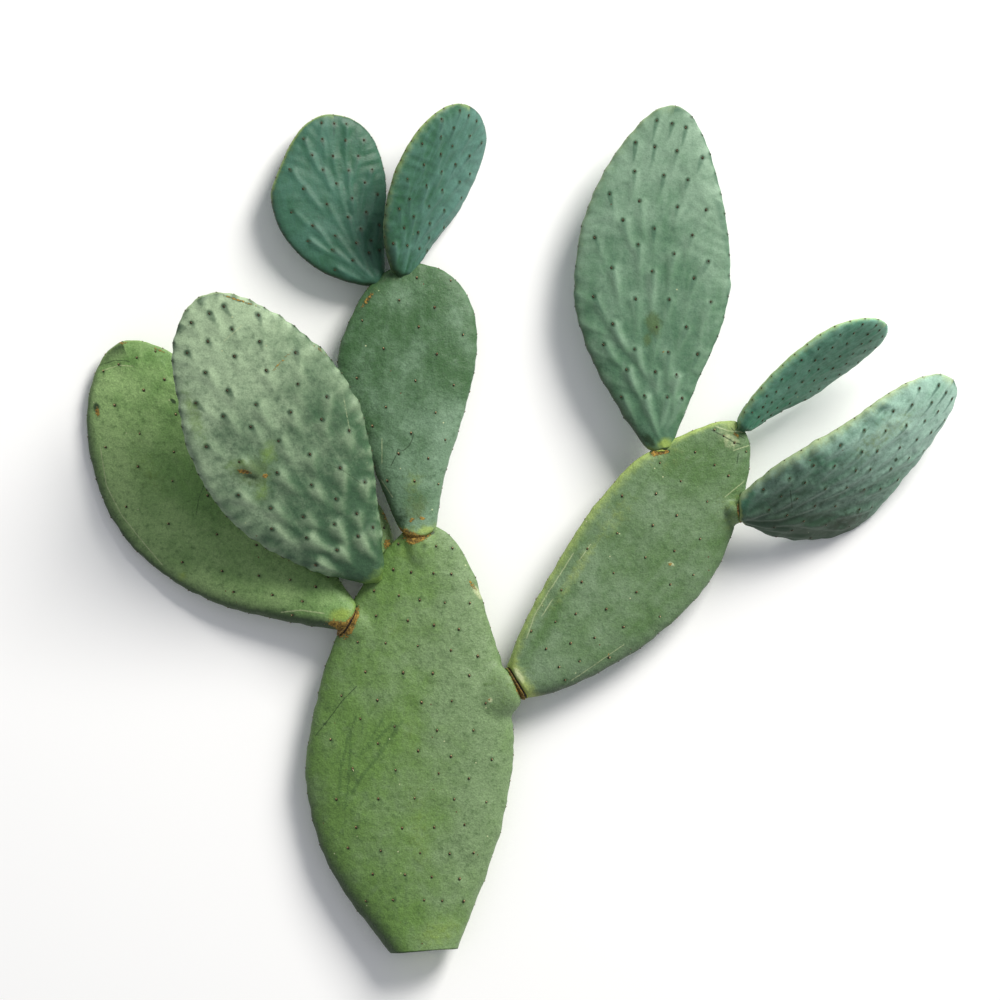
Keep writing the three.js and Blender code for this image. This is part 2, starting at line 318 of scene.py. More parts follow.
def face_areoles(pad):
    """Addresses (s, across, facing) of the areoles on a pad's face and back."""
    columns = np.linspace(OUTER_COLUMN, -OUTER_COLUMN, pad["columns"])
    column_step = 2 * OUTER_COLUMN / (pad["columns"] - 1)
    step = LAST_ROW / (pad["rows"] - 1)
    back_start = pad["columns"] + COLUMNS_APART
    addresses = []
    for row in range(pad["rows"]):
        place = row * step
        if place <= BARE_NECK:
            continue
        for c, column in enumerate(columns):
            for j, across, facing in ((c + 2, column, 1), (back_start + c + 1, -column, -1)):
                if (row + j) % 2 == 0:
                    shift = STRAY * math.sin(WAVES_ALONG[0] * row + WAVES_ALONG[1] * j)
                    s = place + (ROW_SLANT * across + shift) * step * math.sin(math.pi * place)
                    shift = STRAY * math.sin(WAVES_ACROSS[0] * row + WAVES_ACROSS[1] * j)
                    addresses.append((s, across + shift * column_step, facing))
    return np.array(addresses, float)


def rim_areoles(pad):
    """Addresses of the areoles on a pad's rim, up both sides to the tip, which has one."""
    up = 1 - (1 - np.linspace(1 - math.sqrt(1 - BARE_NECK), 1, RIM_STEPS)) ** 2
    addresses = []
    for side in (1, -1):
        rim = skin(pad, up, side, 1)
        length = np.linalg.norm(np.diff(rim, axis=0), axis=1).sum()
        steps = even_steps(up, rim, round(length / pad["rim_step"]))
        addresses += [(s, side, 1) for s in steps[: len(steps) - (side == 1)]]
    return np.array(addresses, float)


print({name: len(face_areoles(pad)) + len(rim_areoles(pad)) for name, pad in PADS.items()}, "areoles")


# %% [markdown]
# ## The blank of a pad
#
# A pad could be extruded ring by ring, but it is closed at both ends, and so is a sphere. So each pad
# starts as a UV sphere: its lower pole is the middle of the foot, its upper pole is the tip, and its
# meridians run along the pad. Its points are then moved to their addresses on the skin. The rings
# are spaced evenly along the rim and round the section, because the rim is where the eye finds
# corners.

# %% Blank: a sphere shaped to a pad
GRAIN = 1.9  # side of a face, in millimetres
FOOT_RINGS = 5
CUT_RINGS = 14  # on the trunk, whose flat foot shows its flesh
RIM_TO_MIDRIB = 1.12  # how much longer than the midrib a rim is
WIDEST = 0.55  # the share of its length at which a pad is near its widest
LINE_STEPS, SECTION_STEPS = 400, 300


def positions(piece):
    """A piece's points, in millimetres."""
    flat = np.empty(len(piece.data.vertices) * 3)
    piece.data.vertices.foreach_get("co", flat)
    return flat.reshape(-1, 3) / MM


def ring_places(pad, foot_rings):
    """How far up the pad each ring of points lies: some at the foot, the others evenly spaced."""
    s = 1 - (1 - np.linspace(0, 1, LINE_STEPS)) ** 2
    rim = skin(pad, s, np.ones_like(s), 1)
    count = int(midrib_length(pad) * RIM_TO_MIDRIB / GRAIN)
    return np.concatenate([np.zeros(foot_rings), even_steps(s, rim, count)])


def section_places(pad):
    """Across values round a quarter of the section, from the rim to the middle."""
    turn = np.linspace(0, math.pi / 2, SECTION_STEPS)
    across = np.cos(turn)
    points = skin(pad, np.full_like(turn, WIDEST), across, 1)
    distance = np.linalg.norm(np.diff(points, axis=0), axis=1).sum()
    return even_steps(across, points, int(distance / GRAIN) + 1)


def blank(pad, name, foot_rings):
    """A pad's plain form as a mesh object, and the address of each of its points."""
    quarter = section_places(pad)
    places = ring_places(pad, foot_rings)
    corners = len(quarter) - 1
    deselect()
    bpy.ops.mesh.primitive_uv_sphere_add(segments=4 * corners, ring_count=len(places), radius=1)
    piece = bpy.context.object
    piece.name = name
    bpy.ops.object.shade_smooth()
    ball = positions(piece) * MM
    ring = np.rint((np.arcsin(np.clip(ball[:, 2], -1, 1)) / math.pi + 0.5) * len(places)).astype(int)
    step = np.rint(np.arctan2(ball[:, 1], ball[:, 0]) / (2 * math.pi) * 4 * corners).astype(int)
    step = step % (4 * corners)
    folded = np.where(step > 2 * corners, 4 * corners - step, step)
    across = np.where(folded <= corners, quarter[np.minimum(folded, corners)],
                      -quarter[np.clip(2 * corners - folded, 0, corners)])
    facing = np.where(step <= 2 * corners, 1.0, -1.0)
    s = places[np.clip(ring - 1, 0, len(places) - 1)]
    core = np.clip(ring / (foot_rings + 1), 0, 1)
    s = np.where(ring == len(places), 1.0, s)
    middle, *_ = stations(pad, s)
    points = middle + (skin(pad, s, across, facing) - middle) * core[:, None]
    return piece, points, dict(s=s, across=across, facing=facing, core=core)


print(len(ring_places(PADS["trunk"], CUT_RINGS)), "rings of points on the trunk")


# %% [markdown]
# ## Relief: tubercles and their ridges
#
# On a young pad each areole rides on a tubercle, a low mound that runs down towards the pad's base as
# a soft ridge. The ridges catch the light and make the slanting furrows that the photograph shows.
# Old pads have swollen, so theirs are nearly gone. A mound with a short front and a long back is added
# for each areole, in the direction that the skin flows there. Each rim areole gets a small knuckle.

# %% Mounds, ridges and pits
RIM_WIDTH = 6.5  # of a knuckle
PIT_REACH = 2.2  # of the pit that the areole sits in
MOUND_BEHIND = 0.4  # how far behind its areole a mound is highest, as a share of its half-width
SHADE_WIDTH = 0.5  # half-width of the painted shade behind an areole, as a share of the mound's
RIDGE_TAPER = 0.45  # how much a ridge narrows by the end of its half-length
TAPER_END = 1.6  # half-lengths, beyond which it narrows no more
BLEND = 2.2  # the power by which mounds that meet are blended: the higher, the sharper the fold
RIDGE_AIM = 0.24  # a ridge runs towards the midrib's point this much of the pad's length further down
AIM_WEIGHT = 2  # how much that counts beside the direction of the skin itself
NUDGE = 0.004  # a small step along the pad, which gives that direction
NEIGHBOURHOOD = 0.25  # how far along the pad an areole's mound can matter
# For each areole, drawn between these two rows: how high its mound is, how dark the painted shade in
# its furrow is, how its ridge bends, and how long it is.
VIGOUR = ((0.5, 0.4, -0.006, 0.6), (1.1, 1.0, 0.006, 1.2))


def flow_frames(pad, addresses):
    """At each address: the place, and the directions along the ridges, beside them and outwards."""
    s, across, facing = addresses.T
    place = skin(pad, s, across, facing)
    ahead, behind = skin(pad, np.minimum(s + NUDGE, 1), across, facing), skin(pad, s - NUDGE, across, facing)
    along = unit(ahead - behind)
    _, _, _, face = stations(pad, s)
    on_rim = (np.abs(across) == 1)[:, None]
    aim, *_ = stations(pad, np.maximum(s - RIDGE_AIM, 0))
    along = np.where(on_rim, along, unit(along + AIM_WEIGHT * unit(place - aim)))
    out = np.where(on_rim, np.cross(face, along) * across[:, None], face * facing[:, None])
    beside = unit(np.cross(out, along))
    return place, along, beside, unit(np.cross(along, beside))


def fading(distance, reach=1):
    """1 at no distance, and nearly nothing at twice the reach."""
    return np.exp(-((distance / reach) ** 2))


def mound(forward, sideways, width, front, back):
    """A mound's height, from 0 to 1: short towards the tip, with a narrowing ridge towards the base."""
    gone = np.where(forward > 0, forward / front, -forward / back)
    narrowed = width * (1 - RIDGE_TAPER * np.clip(-forward / back, 0, TAPER_END))
    return fading(gone) * fading(sideways, narrowed)


def areole_relief(pad, points, address, width, front, back, furrow_shade):
    """How high the mounds lift each point, how deep the areoles' pits are, and how dark the painted shade
    in the furrow behind each areole is, all from 0 to 1."""
    raised, pitted, painted_shade = np.zeros((3, len(points)))
    for addresses, is_rim in ((face_areoles(pad), False), (rim_areoles(pad), True)):
        size = (RIM_WIDTH, RIM_WIDTH, RIM_WIDTH) if is_rim else (width, front, back)
        vigour = chance.uniform(*VIGOUR, (len(addresses), 4))
        for (s, _, facing), (rise, gloom, bend, stretch), place, along, beside, _ in zip(
                addresses, vigour, *flow_frames(pad, addresses)):
            near = np.abs(address["s"] - s) < NEIGHBOURHOOD
            if not is_rim:
                near &= address["facing"] == facing
            away = points[near] - place
            forward = away @ along
            sideways = away @ beside + bend * forward**2
            shift = 0 if is_rim else MOUND_BEHIND * width
            hill = mound(forward + shift, sideways, size[0], size[1], size[2] * stretch)
            raised[near] += (rise * hill) ** BLEND
            pitted[near] = np.maximum(pitted[near], fading(np.linalg.norm(away, axis=1), PIT_REACH))
            behind = mound(forward, sideways, SHADE_WIDTH * width, SHADE_WIDTH * width, furrow_shade * stretch)
            painted_shade[near] = np.maximum(painted_shade[near], gloom * behind)
    return raised ** (1 / BLEND), pitted, painted_shade


print("a mound falls to", round(float(mound(-12, 0, 7, 6, 12)), 2), "at the end of its half-length")


# %% [markdown]
# ## Family
#
# A pad's joint stains the pad that carries it: the tissue round it stays fresh and yellow-green, and
# cork creeps out of the joint. So the skins have to know which pad grew from which.

# %% Which pad grew from which
PARENTS = {
    "left_back": "trunk", "left_front": "trunk", "rear_small": "trunk", "mid_upper": "trunk",
    "right": "trunk", "top_left": "mid_upper", "top_right": "mid_upper", "tall": "right",
    "right_small": "right", "right_lower": "right",
}
FRESH_NECKS = {  # how far up a pad its neck stays fresh, in millimetres, and how fresh it is
    "left_back": (15, 0.5), "left_front": (11, 0.9), "rear_small": (14, 0.6), "mid_upper": (11, 0.9),
    "right": (21, 1.0), "tall": (10, 0.6), "right_lower": (4, 0.9),
}
JOINTS = {  # how far the crease dips on the face and rises at its ends, its half-widths to the left and
    # right, and how far cork creeps up the child and down the parent at those two ends, in millimetres
    "left_back": (6, -1, (20.5, 17), (9, 0), (7, 5)),
    "mid_upper": (3, 4, (16.5, 16.5), (8, 0), (7, 1.5)),
    "right": (-5, 3, (21, 20), (0, 0), (3, 6)),
    "tall": (3, 0, (13, 8.5), (0, 0), (2.6, 1.8)),
    "right_lower": (-1, 0, (14, 12), (0, 0), (2, 2)),
}
CORKY_FOOT = (0.22, 5.0)  # how much narrower a pad's foot is at its very end, and over what length
GREEN_FOOT = (0.42, 7.0)  # the same where no cork has grown
FOOT_DOME = 3.0  # how far the end of a foot bulges
DIP_REACH = 14  # how far up a pad its foot follows the crease


def crease_drop(child, depth):
    """How far the crease under a pad lies below its foot. Depth is 1 on the face and -1 on the back."""
    dip, rise = JOINTS.get(child, (0, 0))[:2]
    return dip * depth - rise * (1 - depth**2)


def above_joint(points, child):
    """How far points lie above the crease under a pad, how far towards its left end from 0 to 1, and
    how far beside its middle in half-widths."""
    pad = PADS[child]
    foot, along, left, face = stations(pad, 0.0)
    away = points - foot
    depth = np.clip(away @ face / pad["thickness"][0] * 2, -1, 1)
    sideways = away @ left
    half_left, half_right = JOINTS[child][2]
    share = np.where(sideways > 0, sideways / half_left, sideways / half_right)
    return away @ along + crease_drop(child, depth), np.clip(0.5 + share / 2, 0, 1), np.abs(share)


def round_off_foot(name, points, address):
    """Pinch a pad's foot in towards its joint, and dip its face side towards the parent."""
    pad = PADS[name]
    middle, along, _, face = stations(pad, address["s"])
    gone = address["s"] * midrib_length(pad)
    narrower, length = CORKY_FOOT if name in JOINTS else GREEN_FOOT
    pinch = 1 - narrower * np.clip(1 - gone / length, 0, 1) ** 2
    points = middle + (points - middle) * pinch[:, None]
    points = points - along * (FOOT_DOME * np.sqrt(1 - address["core"] ** 2))[:, None]
    depth = ((points - middle) * face).sum(1) / pad["thickness"][0] * 2
    return points - along * (crease_drop(name, depth) * fading(gone, DIP_REACH))[:, None]


print(len(PARENTS), "pads grew from another")


# %% [markdown]
# A joint is read from its colours: a dark line of painted shade in the crease, cork that frays into the
# green above and below it, and fresh tissue beyond. All three fade with the distance from the joint, so
# they are worked out as numbers for each point. A painted texture would have to be made again for each
# change of shape.

# %% Stains round the joints
JOINT_REACH = 22  # how far fresh tissue spreads on the parent
FRESH_ROUND_CORK, FRESH_ROUND_GREEN = 0.4, 0.2  # how fresh it is round a joint with cork and without
CORK_FRAYS = 4  # millimetres over which a cork edge goes from sure to never
LEAST_CORK = 0.5  # millimetres, under which there is none
# The crease's darkness, set by CREASE_IN_CORK and CREASE_IN_GREEN, is painted shade.
CREASE_REACH = 1.9
CREASE_IN_CORK, CREASE_IN_GREEN = 0.9, 0.4  # how dark the crease is
CREASE_ENDS, CREASE_FADES = 1.08, 0.2  # where it ends, in half-widths of the joint, and over what share
CORK_ENDS, CORK_FADES = 1.15, 0.6


def cork_at(distance, ends, to_left):
    """How sure cork is at a distance from the crease, given how far it creeps at the two ends."""
    left_share = np.clip(1.6 * to_left - 0.3, 0, 1)  # each end takes a fifth of the joint for itself
    reach = ends[1] + (ends[0] - ends[1]) * left_share
    return np.clip(0.5 + (reach - distance) / CORK_FRAYS, 0, 1) * (reach > LEAST_CORK)


def joint_stains(name, points, s):
    """Fresh tissue, cork and the painted shade of dark creases round the joints that a pad carries and
    round its own foot.
    """
    fresh, cork, dark = np.zeros((3, len(points)))
    if name in PARENTS:
        gone = s * midrib_length(PADS[name])
        reach, strength = FRESH_NECKS.get(name, (1, 0))
        fresh = strength * fading(gone, reach)
        # painted shade in the crease at the pad's own foot
        dark = (CREASE_IN_CORK if name in JOINTS else CREASE_IN_GREEN) * fading(gone, CREASE_REACH)
        if name in JOINTS:
            _, to_left, _ = above_joint(points, name)
            cork = cork_at(gone, JOINTS[name][3], to_left)
    for child in [c for c, parent in PARENTS.items() if parent == name]:
        foot, *_ = stations(PADS[child], 0.0)
        away = np.linalg.norm(points - foot, axis=1)
        fresh = np.maximum(fresh, FRESH_ROUND_GREEN * fading(away, JOINT_REACH))
        if child in JOINTS:
            above, to_left, beside = above_joint(points, child)
            wider = JOINT_REACH + PADS[child]["collar"] / 2
            fresh = np.maximum(fresh, FRESH_ROUND_CORK * fading(away, wider))
            at_joint = np.clip((CREASE_ENDS - beside) / CREASE_FADES, 0, 1)
            # painted shade in the crease under a child pad
            dark = np.maximum(dark, CREASE_IN_CORK * at_joint * fading(above, CREASE_REACH))
            fraying = np.clip((CORK_ENDS - beside) / CORK_FADES, 0, 1)
            cork = np.maximum(cork, fraying * cork_at(np.abs(above), JOINTS[child][4], to_left))
    return fresh, cork, dark


print(len(JOINTS), "corky joints")


# %% [markdown]
# ## Wounds, scabs and stains
#
# Every pad has its own history: a bite that healed to brown cork with a halo of new green, a scrape
# that rubbed the wax off, a bruise. Some marks are painted light instead: the two dark ones at the tall
# pad's foot are painted shade, and among the wax_and_sheen marks, which are mostly wax bloom, one on the
# right lower pad is a painted sheen and two on the front pad's lower-left rim are partly a painted
# highlight. Each is one line: what it is, where it lies on the face, its half-length and half-width,
# how it is turned and how strong it is. Places are millimetres in the frame, seen from above.

# %% Marks on the faces
MARKS = {
    "trunk": [
        ("worn", (-33, -172), (3.4, 2.8), 40, 1.1),
        ("cork", (-34, -171), (1.8, 1.2), 0, 0.9),
        ("cork", (-50, -58), (9, 2.2), -55, 0.65),
        ("worn", (-46, -64), (11, 4), -55, 0.9),
        ("dark", (-198, -196), (3.4, 2.2), 40, 0.8),
        ("fresh", (-117, -24), (18, 11), 0, 0.4),
        ("rubbed", (-84, -20), (40, 40), 0, 0.25),
        ("rubbed", (-150, -225), (46, 13), 58, 0.9),
        ("rubbed", (-178, -235), (46, 10), 84, 0.9),
        ("dark", (-120, -150), (14, 6), 20, 0.3),
        ("fresh", (-84, -404), (30, 18), 20, 0.6),
        ("fresh", (-104, -300), (17, 66), 4, 0.4),
        ("fresh", (-112, -205), (20, 46), 0, 0.3),
        ("fresh", (-130, -100), (10, 12), 0, 0.35),
        ("rubbed", (-112, -392), (24, 16), 20, 0.8),
        ("wax_and_sheen", (-60, -150), (30, 60), 0, 0.8),
        ("wax_and_sheen", (-44, -260), (22, 70), -4, 0.6),
        ("wax_and_sheen", (-180, -100), (30, 40), 0, 0.4),
    ],
    "left_back": [
        ("cork", (-426, 116), (2, 5), 10, 1.2),
        ("dark", (-427, 121), (4, 6), 10, 0.9),
        ("dark", (-350, 127), (3.5, 1.8), -40, 1.2),
        ("dark", (-408, 180), (12, 4), 12, 0.45),
        ("cork", (-404, 186), (7, 1.6), -10, 0.85),
        ("cork", (-364, 178), (7, 1.5), -20, 0.65),
        ("fresh", (-341, -48), (6, 6), -40, 0.6),
        ("fresh", (-182, -87), (12, 6.5), 15, 1.4),
        ("cork", (-186, -96), (11, 4), -8, 1.1),
        ("fresh", (-375, 60), (40, 16), -60, 0.3),
        ("rubbed", (-318, 36), (40, 24), -50, 0.8),
        ("rubbed", (-392, 168), (26, 5), 12, 0.6),
        ("wax_and_sheen", (-408, 60), (12, 60), 14, 0.8),
        ("wax_and_sheen", (-300, -70), (50, 10), -22, 0.7),
    ],
    "left_front": [
        ("cork", (-277, 56), (7, 2.0), -8, 1.2),
        ("cork", (-256, 52), (4, 2), 10, 1.1),
        ("dark", (-270, 51), (11, 4), -12, 0.62),
        ("olive", (-268, 56), (22, 17), 0, 0.85),
        ("fresh", (-253, 74), (9, 14), -15, 0.75),
        ("fresh", (-260, 36), (9, 14), -15, 0.65),
        ("fresh", (-284, 62), (14, 9), 10, 0.6),
        ("fresh", (-326, 110), (9, 34), 20, 0.6),
        ("cork", (-238, 167), (24, 1.3), 46, 0.62),
        ("cork", (-203, 178), (12, 1.5), -40, 0.6),
        ("dark", (-203, 177), (12, 2.5), -40, 0.5),
        ("cork", (-283, 226), (28, 1.4), -18, 0.6),
        ("dark", (-283, 226), (28, 2.0), -18, 0.6),
        ("wax_and_sheen", (-290, 150), (60, 40), 50, 0.5),
        # These two bands along the lower-left rim are wax bloom and partly a painted highlight on its lit
        # edge.
        ("wax_and_sheen", (-245, 0), (44, 8), -42, 0.7),
        ("wax_and_sheen", (-280, 60), (36, 8), -52, 0.5),
        ("rubbed", (-284, 90), (20, 24), 0, 0.3),
        ("wax_and_sheen", (-225, 132), (28, 22), 0, 0.5),
    ],
    "rear_small": [
        ("cork", (-137, 12), (4, 10), 20, 0.8),
        ("cork", (-136, -16), (4, 8), -10, 0.8),
    ],
    "mid_upper": [
        ("cork", (-111, 8), (5, 2.0), 28, 0.9),
        ("cork", (-101, 10), (5, 1.6), -12, 0.85),
        ("dark", (-121, 10), (8, 13), 10, 0.6),
        ("cork", (-155, 229), (13, 2.0), 52, 0.75),
        ("dark", (-156, 227), (14, 3.0), 52, 0.7),
        ("olive", (-107, 20), (15, 18), 0, 0.75),
        ("fresh", (-109, 44), (14, 20), 0, 0.4),
        ("wax_and_sheen", (-120, 235), (26, 15), 20, 0.7),
        ("rubbed", (-62, 150), (17, 34), 30, 1.1),
        ("rubbed", (-100, 30), (18, 22), 0, 0.7),
        ("fresh", (-97, -2), (11, 4), 12, 1.3),
        ("wax_and_sheen", (-60, 100), (18, 60), -8, 0.9),
    ],
    "right": [
        ("cork", (147, -36), (2.6, 1.4), -20, 1.1),
        ("worn", (148, -36), (5, 2.4), -20, 1.0),
        ("cork", (213, 93), (5, 2), -35, 0.75),
        ("worn", (206, 88), (18, 11), -40, 0.62),
        ("worn", (-4, -147), (12, 5), -55, 0.85),
        ("cork", (86, -126), (2.5, 1.2), 40, 0.7),
        ("rubbed", (170, 70), (34, 30), 0, 0.5),
        ("fresh", (54, -42), (60, 7), 57, 0.5),
        ("fresh", (92, 10), (34, 14), 50, 0.4),
        ("rubbed", (22, -100), (44, 7), 60, 0.7),
    ],
    "tall": [
        ("olive", (130, 204), (9, 14), 15, 1.0),
        ("olive", (124, 188), (6, 8), -20, 0.8),
        ("cork", (140, 176), (3, 1.2), 0, 0.6),
        ("fresh", (142, 84), (9, 6), 8, 1.1),
        # These two are painted shade under the bulge of the pad's foot.
        ("dark", (126, 87), (13, 5), -48, 0.8),
        ("dark", (139, 78), (12, 2), 14, 0.9),
    ],
    "right_small": [
        ("wax_and_sheen", (330, 162), (50, 8), 36, 1.2),
    ],
    "right_lower": [
        # This long band on the right flank is a painted sheen, a bluish reflection of the sky.
        ("wax_and_sheen", (412, 82), (56, 9), 67, 1.8),
        ("wax_and_sheen", (372, 84), (34, 22), 40, 0.9),
        ("wax_and_sheen", (300, 34), (70, 4), 20, 1.4),
        ("wax_and_sheen", (292, 20), (54, 3), 10, 1.3),
        ("fresh", (362, 96), (54, 15), 36, 0.4),
        ("dark", (322, 6), (38, 13), 15, 0.6),
        ("dark", (340, 38), (22, 5), 22, 0.45),
        ("dark", (372, 68), (2.2, 1.6), 60, 1.1),
    ],
}


def marks_on(name, points, facing):
    """How strong each kind of mark is at each point of a pad."""
    kinds = ("fresh", "cork", "worn", "dark", "olive", "rubbed", "wax_and_sheen")
    found = {kind: np.zeros(len(points)) for kind in kinds}
    for kind, (x, y), (half_long, half_short), turn, strength in MARKS.get(name, []):
        c, s = math.cos(math.radians(turn)), math.sin(math.radians(turn))
        dx, dy = points[:, 0] - x, points[:, 1] - y
        distance = np.hypot((dx * c + dy * s) / half_long, (dy * c - dx * s) / half_short)
        mark = strength * fading(distance) * (facing > 0)
        found[kind] = np.maximum(found[kind], mark)
    return found


print(sum(len(m) for m in MARKS.values()), "marks")


# %% [markdown]
# ## Scratches
#
# A scratch is finer than the mesh. The mesh therefore carries how far each point lies to the one side
# or the other of it, in half-widths, and the material draws the line where that number is near zero.
# Each row tells the kind, the half-width, the strength and the places that the scratch passes. A scrape
# is pale and dry, a nick is dark, and a rub is a streak with the wax wiped off.

# %% Scratches on the faces
SCRATCH_REACH = 2.6  # how near a point must be to know of a scratch
FAR_OFF = 9.0  # half-widths, for a point that knows of none
SCRATCHES = {
    "trunk": [
        ("nick", 0.8, 0.8, (-167, -159), (-181, -173), (-191, -187), (-207, -207)),
        ("rub", 1.8, 1.0, (-121, -193), (-147, -231), (-161, -248), (-171, -265)),
        ("rub", 2.0, 0.8, (-130, -195), (-156, -222)),
        ("rub", 1.8, 0.8, (-167, -189), (-174, -206), (-182, -238), (-184, -276)),
        ("rub", 2.0, 0.8, (-172, -205), (-174, -250), (-177, -279)),
        ("rub", 2.0, 0.7, (-140, -190), (-164, -230)),
    ],
    "left_back": [
        ("scrape", 0.8, 0.8, (-423, 79), (-417, 42), (-402, 13), (-383, -11), (-362, -36)),
        ("scrape", 1.0, 0.8, (-240, -84), (-222, -82), (-201, -85)),
        ("nick", 0.7, 0.7, (-318, 45), (-324, 30), (-327, 13)),
        ("nick", 0.8, 0.8, (-424, 163), (-408, 168), (-395, 167)),
        ("scrape", 0.7, 0.8, (-420, 158), (-404, 163), (-392, 162)),
    ],
    "left_front": [
        ("nick", 0.8, 0.6, (-196, 64), (-180, 58), (-162, 45)),
        ("scrape", 0.7, 0.7, (-296, 185), (-279, 200)),
        ("scrape", 0.7, 0.6, (-172, 96), (-178, 128)),
    ],
    "mid_upper": [
        ("nick", 0.8, 0.9, (-110, 91), (-113, 83), (-120, 77), (-125, 79), (-127, 72), (-131, 64)),
        ("scrape", 0.6, 0.8, (-141, 88), (-141, 66)),
        ("scrape", 0.7, 0.8, (-141, 47), (-131, 32)),
    ],
    "right": [
        ("scrape", 0.9, 0.9, (4, -109), (12, -86), (24, -66), (39, -43), (49, -27)),
        ("scrape", 0.8, 1.0, (20, -86), (29, -72)),
        ("scrape", 0.6, 0.8, (57, -31), (67, -17)),
        ("scrape", 0.7, 0.7, (49, -152), (71, -137), (100, -117)),
        ("scrape", 0.7, 0.8, (203, 32), (220, 46)),
        ("nick", 1.0, 1.1, (190, 97), (202, 91), (210, 86), (216, 84)),
        ("nick", 0.8, 1.0, (209, 99), (213, 94), (220, 90)),
        ("nick", 0.8, 0.9, (215, 73), (214, 66)),
        ("scrape", 0.9, 1.0, (194, 101), (206, 97), (218, 96)),
        ("scrape", 0.8, 1.0, (212, 78), (224, 82)),
    ],
    "right_lower": [
        ("nick", 0.9, 0.8, (266, 37), (268, 22)),
    ],
}


def scratched(name, points, facing):
    """For each kind of scratch: how near one is, and on which side of it and how far off a point lies."""
    found = {}
    for kind in ("scrape", "nick", "rub"):
        near, off = np.zeros(len(points)), np.full(len(points), FAR_OFF)
        for which, half_wide, strength, *path in SCRATCHES.get(name, []):
            for start, end in zip(path, path[1:]) if which == kind else ():
                length = math.dist(start, end)
                way = np.subtract(end, start) / length
                gap = points[:, :2] - start
                lengthwise, sideways = gap @ way, gap @ (-way[1], way[0])
                beyond = lengthwise - np.clip(lengthwise, 0, length)
                here = strength * fading(np.hypot(beyond, sideways), SCRATCH_REACH) * (facing > 0)
                closer = here > near
                near[closer], off[closer] = here[closer], sideways[closer] / half_wide
        found[kind], found[kind + "_off"] = near, off
    return found


print(sum(len(lines) for lines in SCRATCHES.values()), "scratches")


# %% [markdown]
# ## The node helper
#
# One small function adds a shader node, sets its properties, fills its sockets with values or links,
# and hands back the output to go on from. Text in a socket is a colour in hex.

# %% Add a node
FACTOR, UNDER, OVER = 0, 6, 7  # sockets of a Mix node that mixes colours
COLOURS = dict(output=2, data_type="RGBA")  # its output, and the setting that makes it mix colours


def add(tree, kind, inputs, output=0, **settings):
    """Add a node, and hand back one of its outputs."""
    node = tree.nodes.new(kind)
    for name, value in settings.items():
        setattr(node, name, value)
    for socket, value in inputs.items():
        if isinstance(value, bpy.types.NodeSocket):
            tree.links.new(value, node.inputs[socket])
        else:
            node.inputs[socket].default_value = linear(value) if isinstance(value, str) else value
    return node.outputs[output]


def new_material(name):
    """A material, its node tree and its shader."""
    material = bpy.data.materials.new(name)
    material.use_nodes = True
    return material, material.node_tree, material.node_tree.nodes["Principled BSDF"]


print("a colour is mixed from socket", UNDER, "to socket", OVER, "by socket", FACTOR)


# %% [markdown]
# ## Waxy cactus skin
#
# The skin of a prickly pear is a tough green cuticle under a bloom of wax. The wax is matt and pale,
# and it rubs off in patches and on ridges. Here the crests of the ridges are still drawn with more
# bloom, partly wax and partly a painted highlight, and the furrows, the pits round the areoles and the
# rims that face down get painted shade. What the eye sees, from large to small: clouds of bloom about
# 40 mm across, patches of 13 mm, mottling of 5 to 6 mm, streaks along the pad's flow, and a fine grain
# of 1.6 mm. The pores that cause the grain are finer still, so it is drawn as coarse as shows.
#
# Each layer of colour is told by three things: a number that the mesh carries, a noise that frays its
# edge, and the two levels between which it goes from nothing to full. Reading the number from the
# mesh keeps the pattern on the skin, whatever the view.

# %% Sizes of the skin's patterns
NOISES = {  # size, detail, roughness
    "clouds": (38 * MM, 5, 0.62),
    "patches": (13 * MM, 4, 0.6),
    "mottle": (5.5 * MM, 4, 0.65),
    "grain": (1.6 * MM, 2, 0.65),
    "crust": (2.4 * MM, 4, 0.7),
}
STREAK_STRETCH = 8  # how many times longer than wide a streak is
CARRIED = ("wax", "furrow_shade", "raised", "areole", "sunlit_rim", "shaded", "fresh", "cork", "worn", "dark", "olive",
           "scrape", "nick", "rub")
LAYERS = [  # number carried, noise, share of noise, from, to, colour, strength
    ("wax", "clouds", 1.5, 0.1, 0.9, "bloom", 0.9),
    ("wax", "streaks", 2.4, 0.05, 1.1, "bloom", 0.75),
    (None, "patches", 3.0, 0.0, 0.9, "bloom", 0.45),
    (None, "mottle", 2.8, -0.1, 0.85, "shade", 0.75),
    ("furrow_shade", "mottle", 0.8, 0.1, 1.0, "shade", 0.8),
    # raised lays bloom on the ridge crests, partly wax and partly a painted highlight
    ("raised", "mottle", 1.0, 0.1, 1.1, "bloom", 0.45),
    # areole is painted shade in the pit round each areole
    ("areole", "mottle", 0.5, 0.05, 1.0, "deep", 0.6),
    # shaded and sunlit_rim are painted shade and a painted highlight, on the rims that face down and up
    ("shaded", "mottle", 0.3, 0.0, 0.9, "deep", 0.9),
    ("sunlit_rim", "mottle", 0.6, 0.1, 0.9, "rim_highlight", 0.9),
    ("fresh", "mottle", 0.9, 0.15, 1.1, "fresh", 0.85),
    ("olive", "mottle", 0.9, 0.25, 0.8, "olive", 0.7),
    ("worn", "mottle", 0.9, 0.35, 0.85, "pale", 0.75),
    ("dark", "mottle", 0.7, 0.25, 0.75, "deep", 0.9),
]
LINE_LAYERS = [  # kind of scratch, colour, strength, and how soft its edge is
    ("rub", "shade", 0.55, 2.2), ("nick", "deep", 0.75, 0.8), ("scrape", "pale", 0.5, 0.8),
]
LINE_HALF_WIDTH = 0.2  # of a scratch's sure middle, in the half-widths that the mesh carries
LINE_WOBBLE = 1.6  # how far, in the same, the mottling bends a scratch
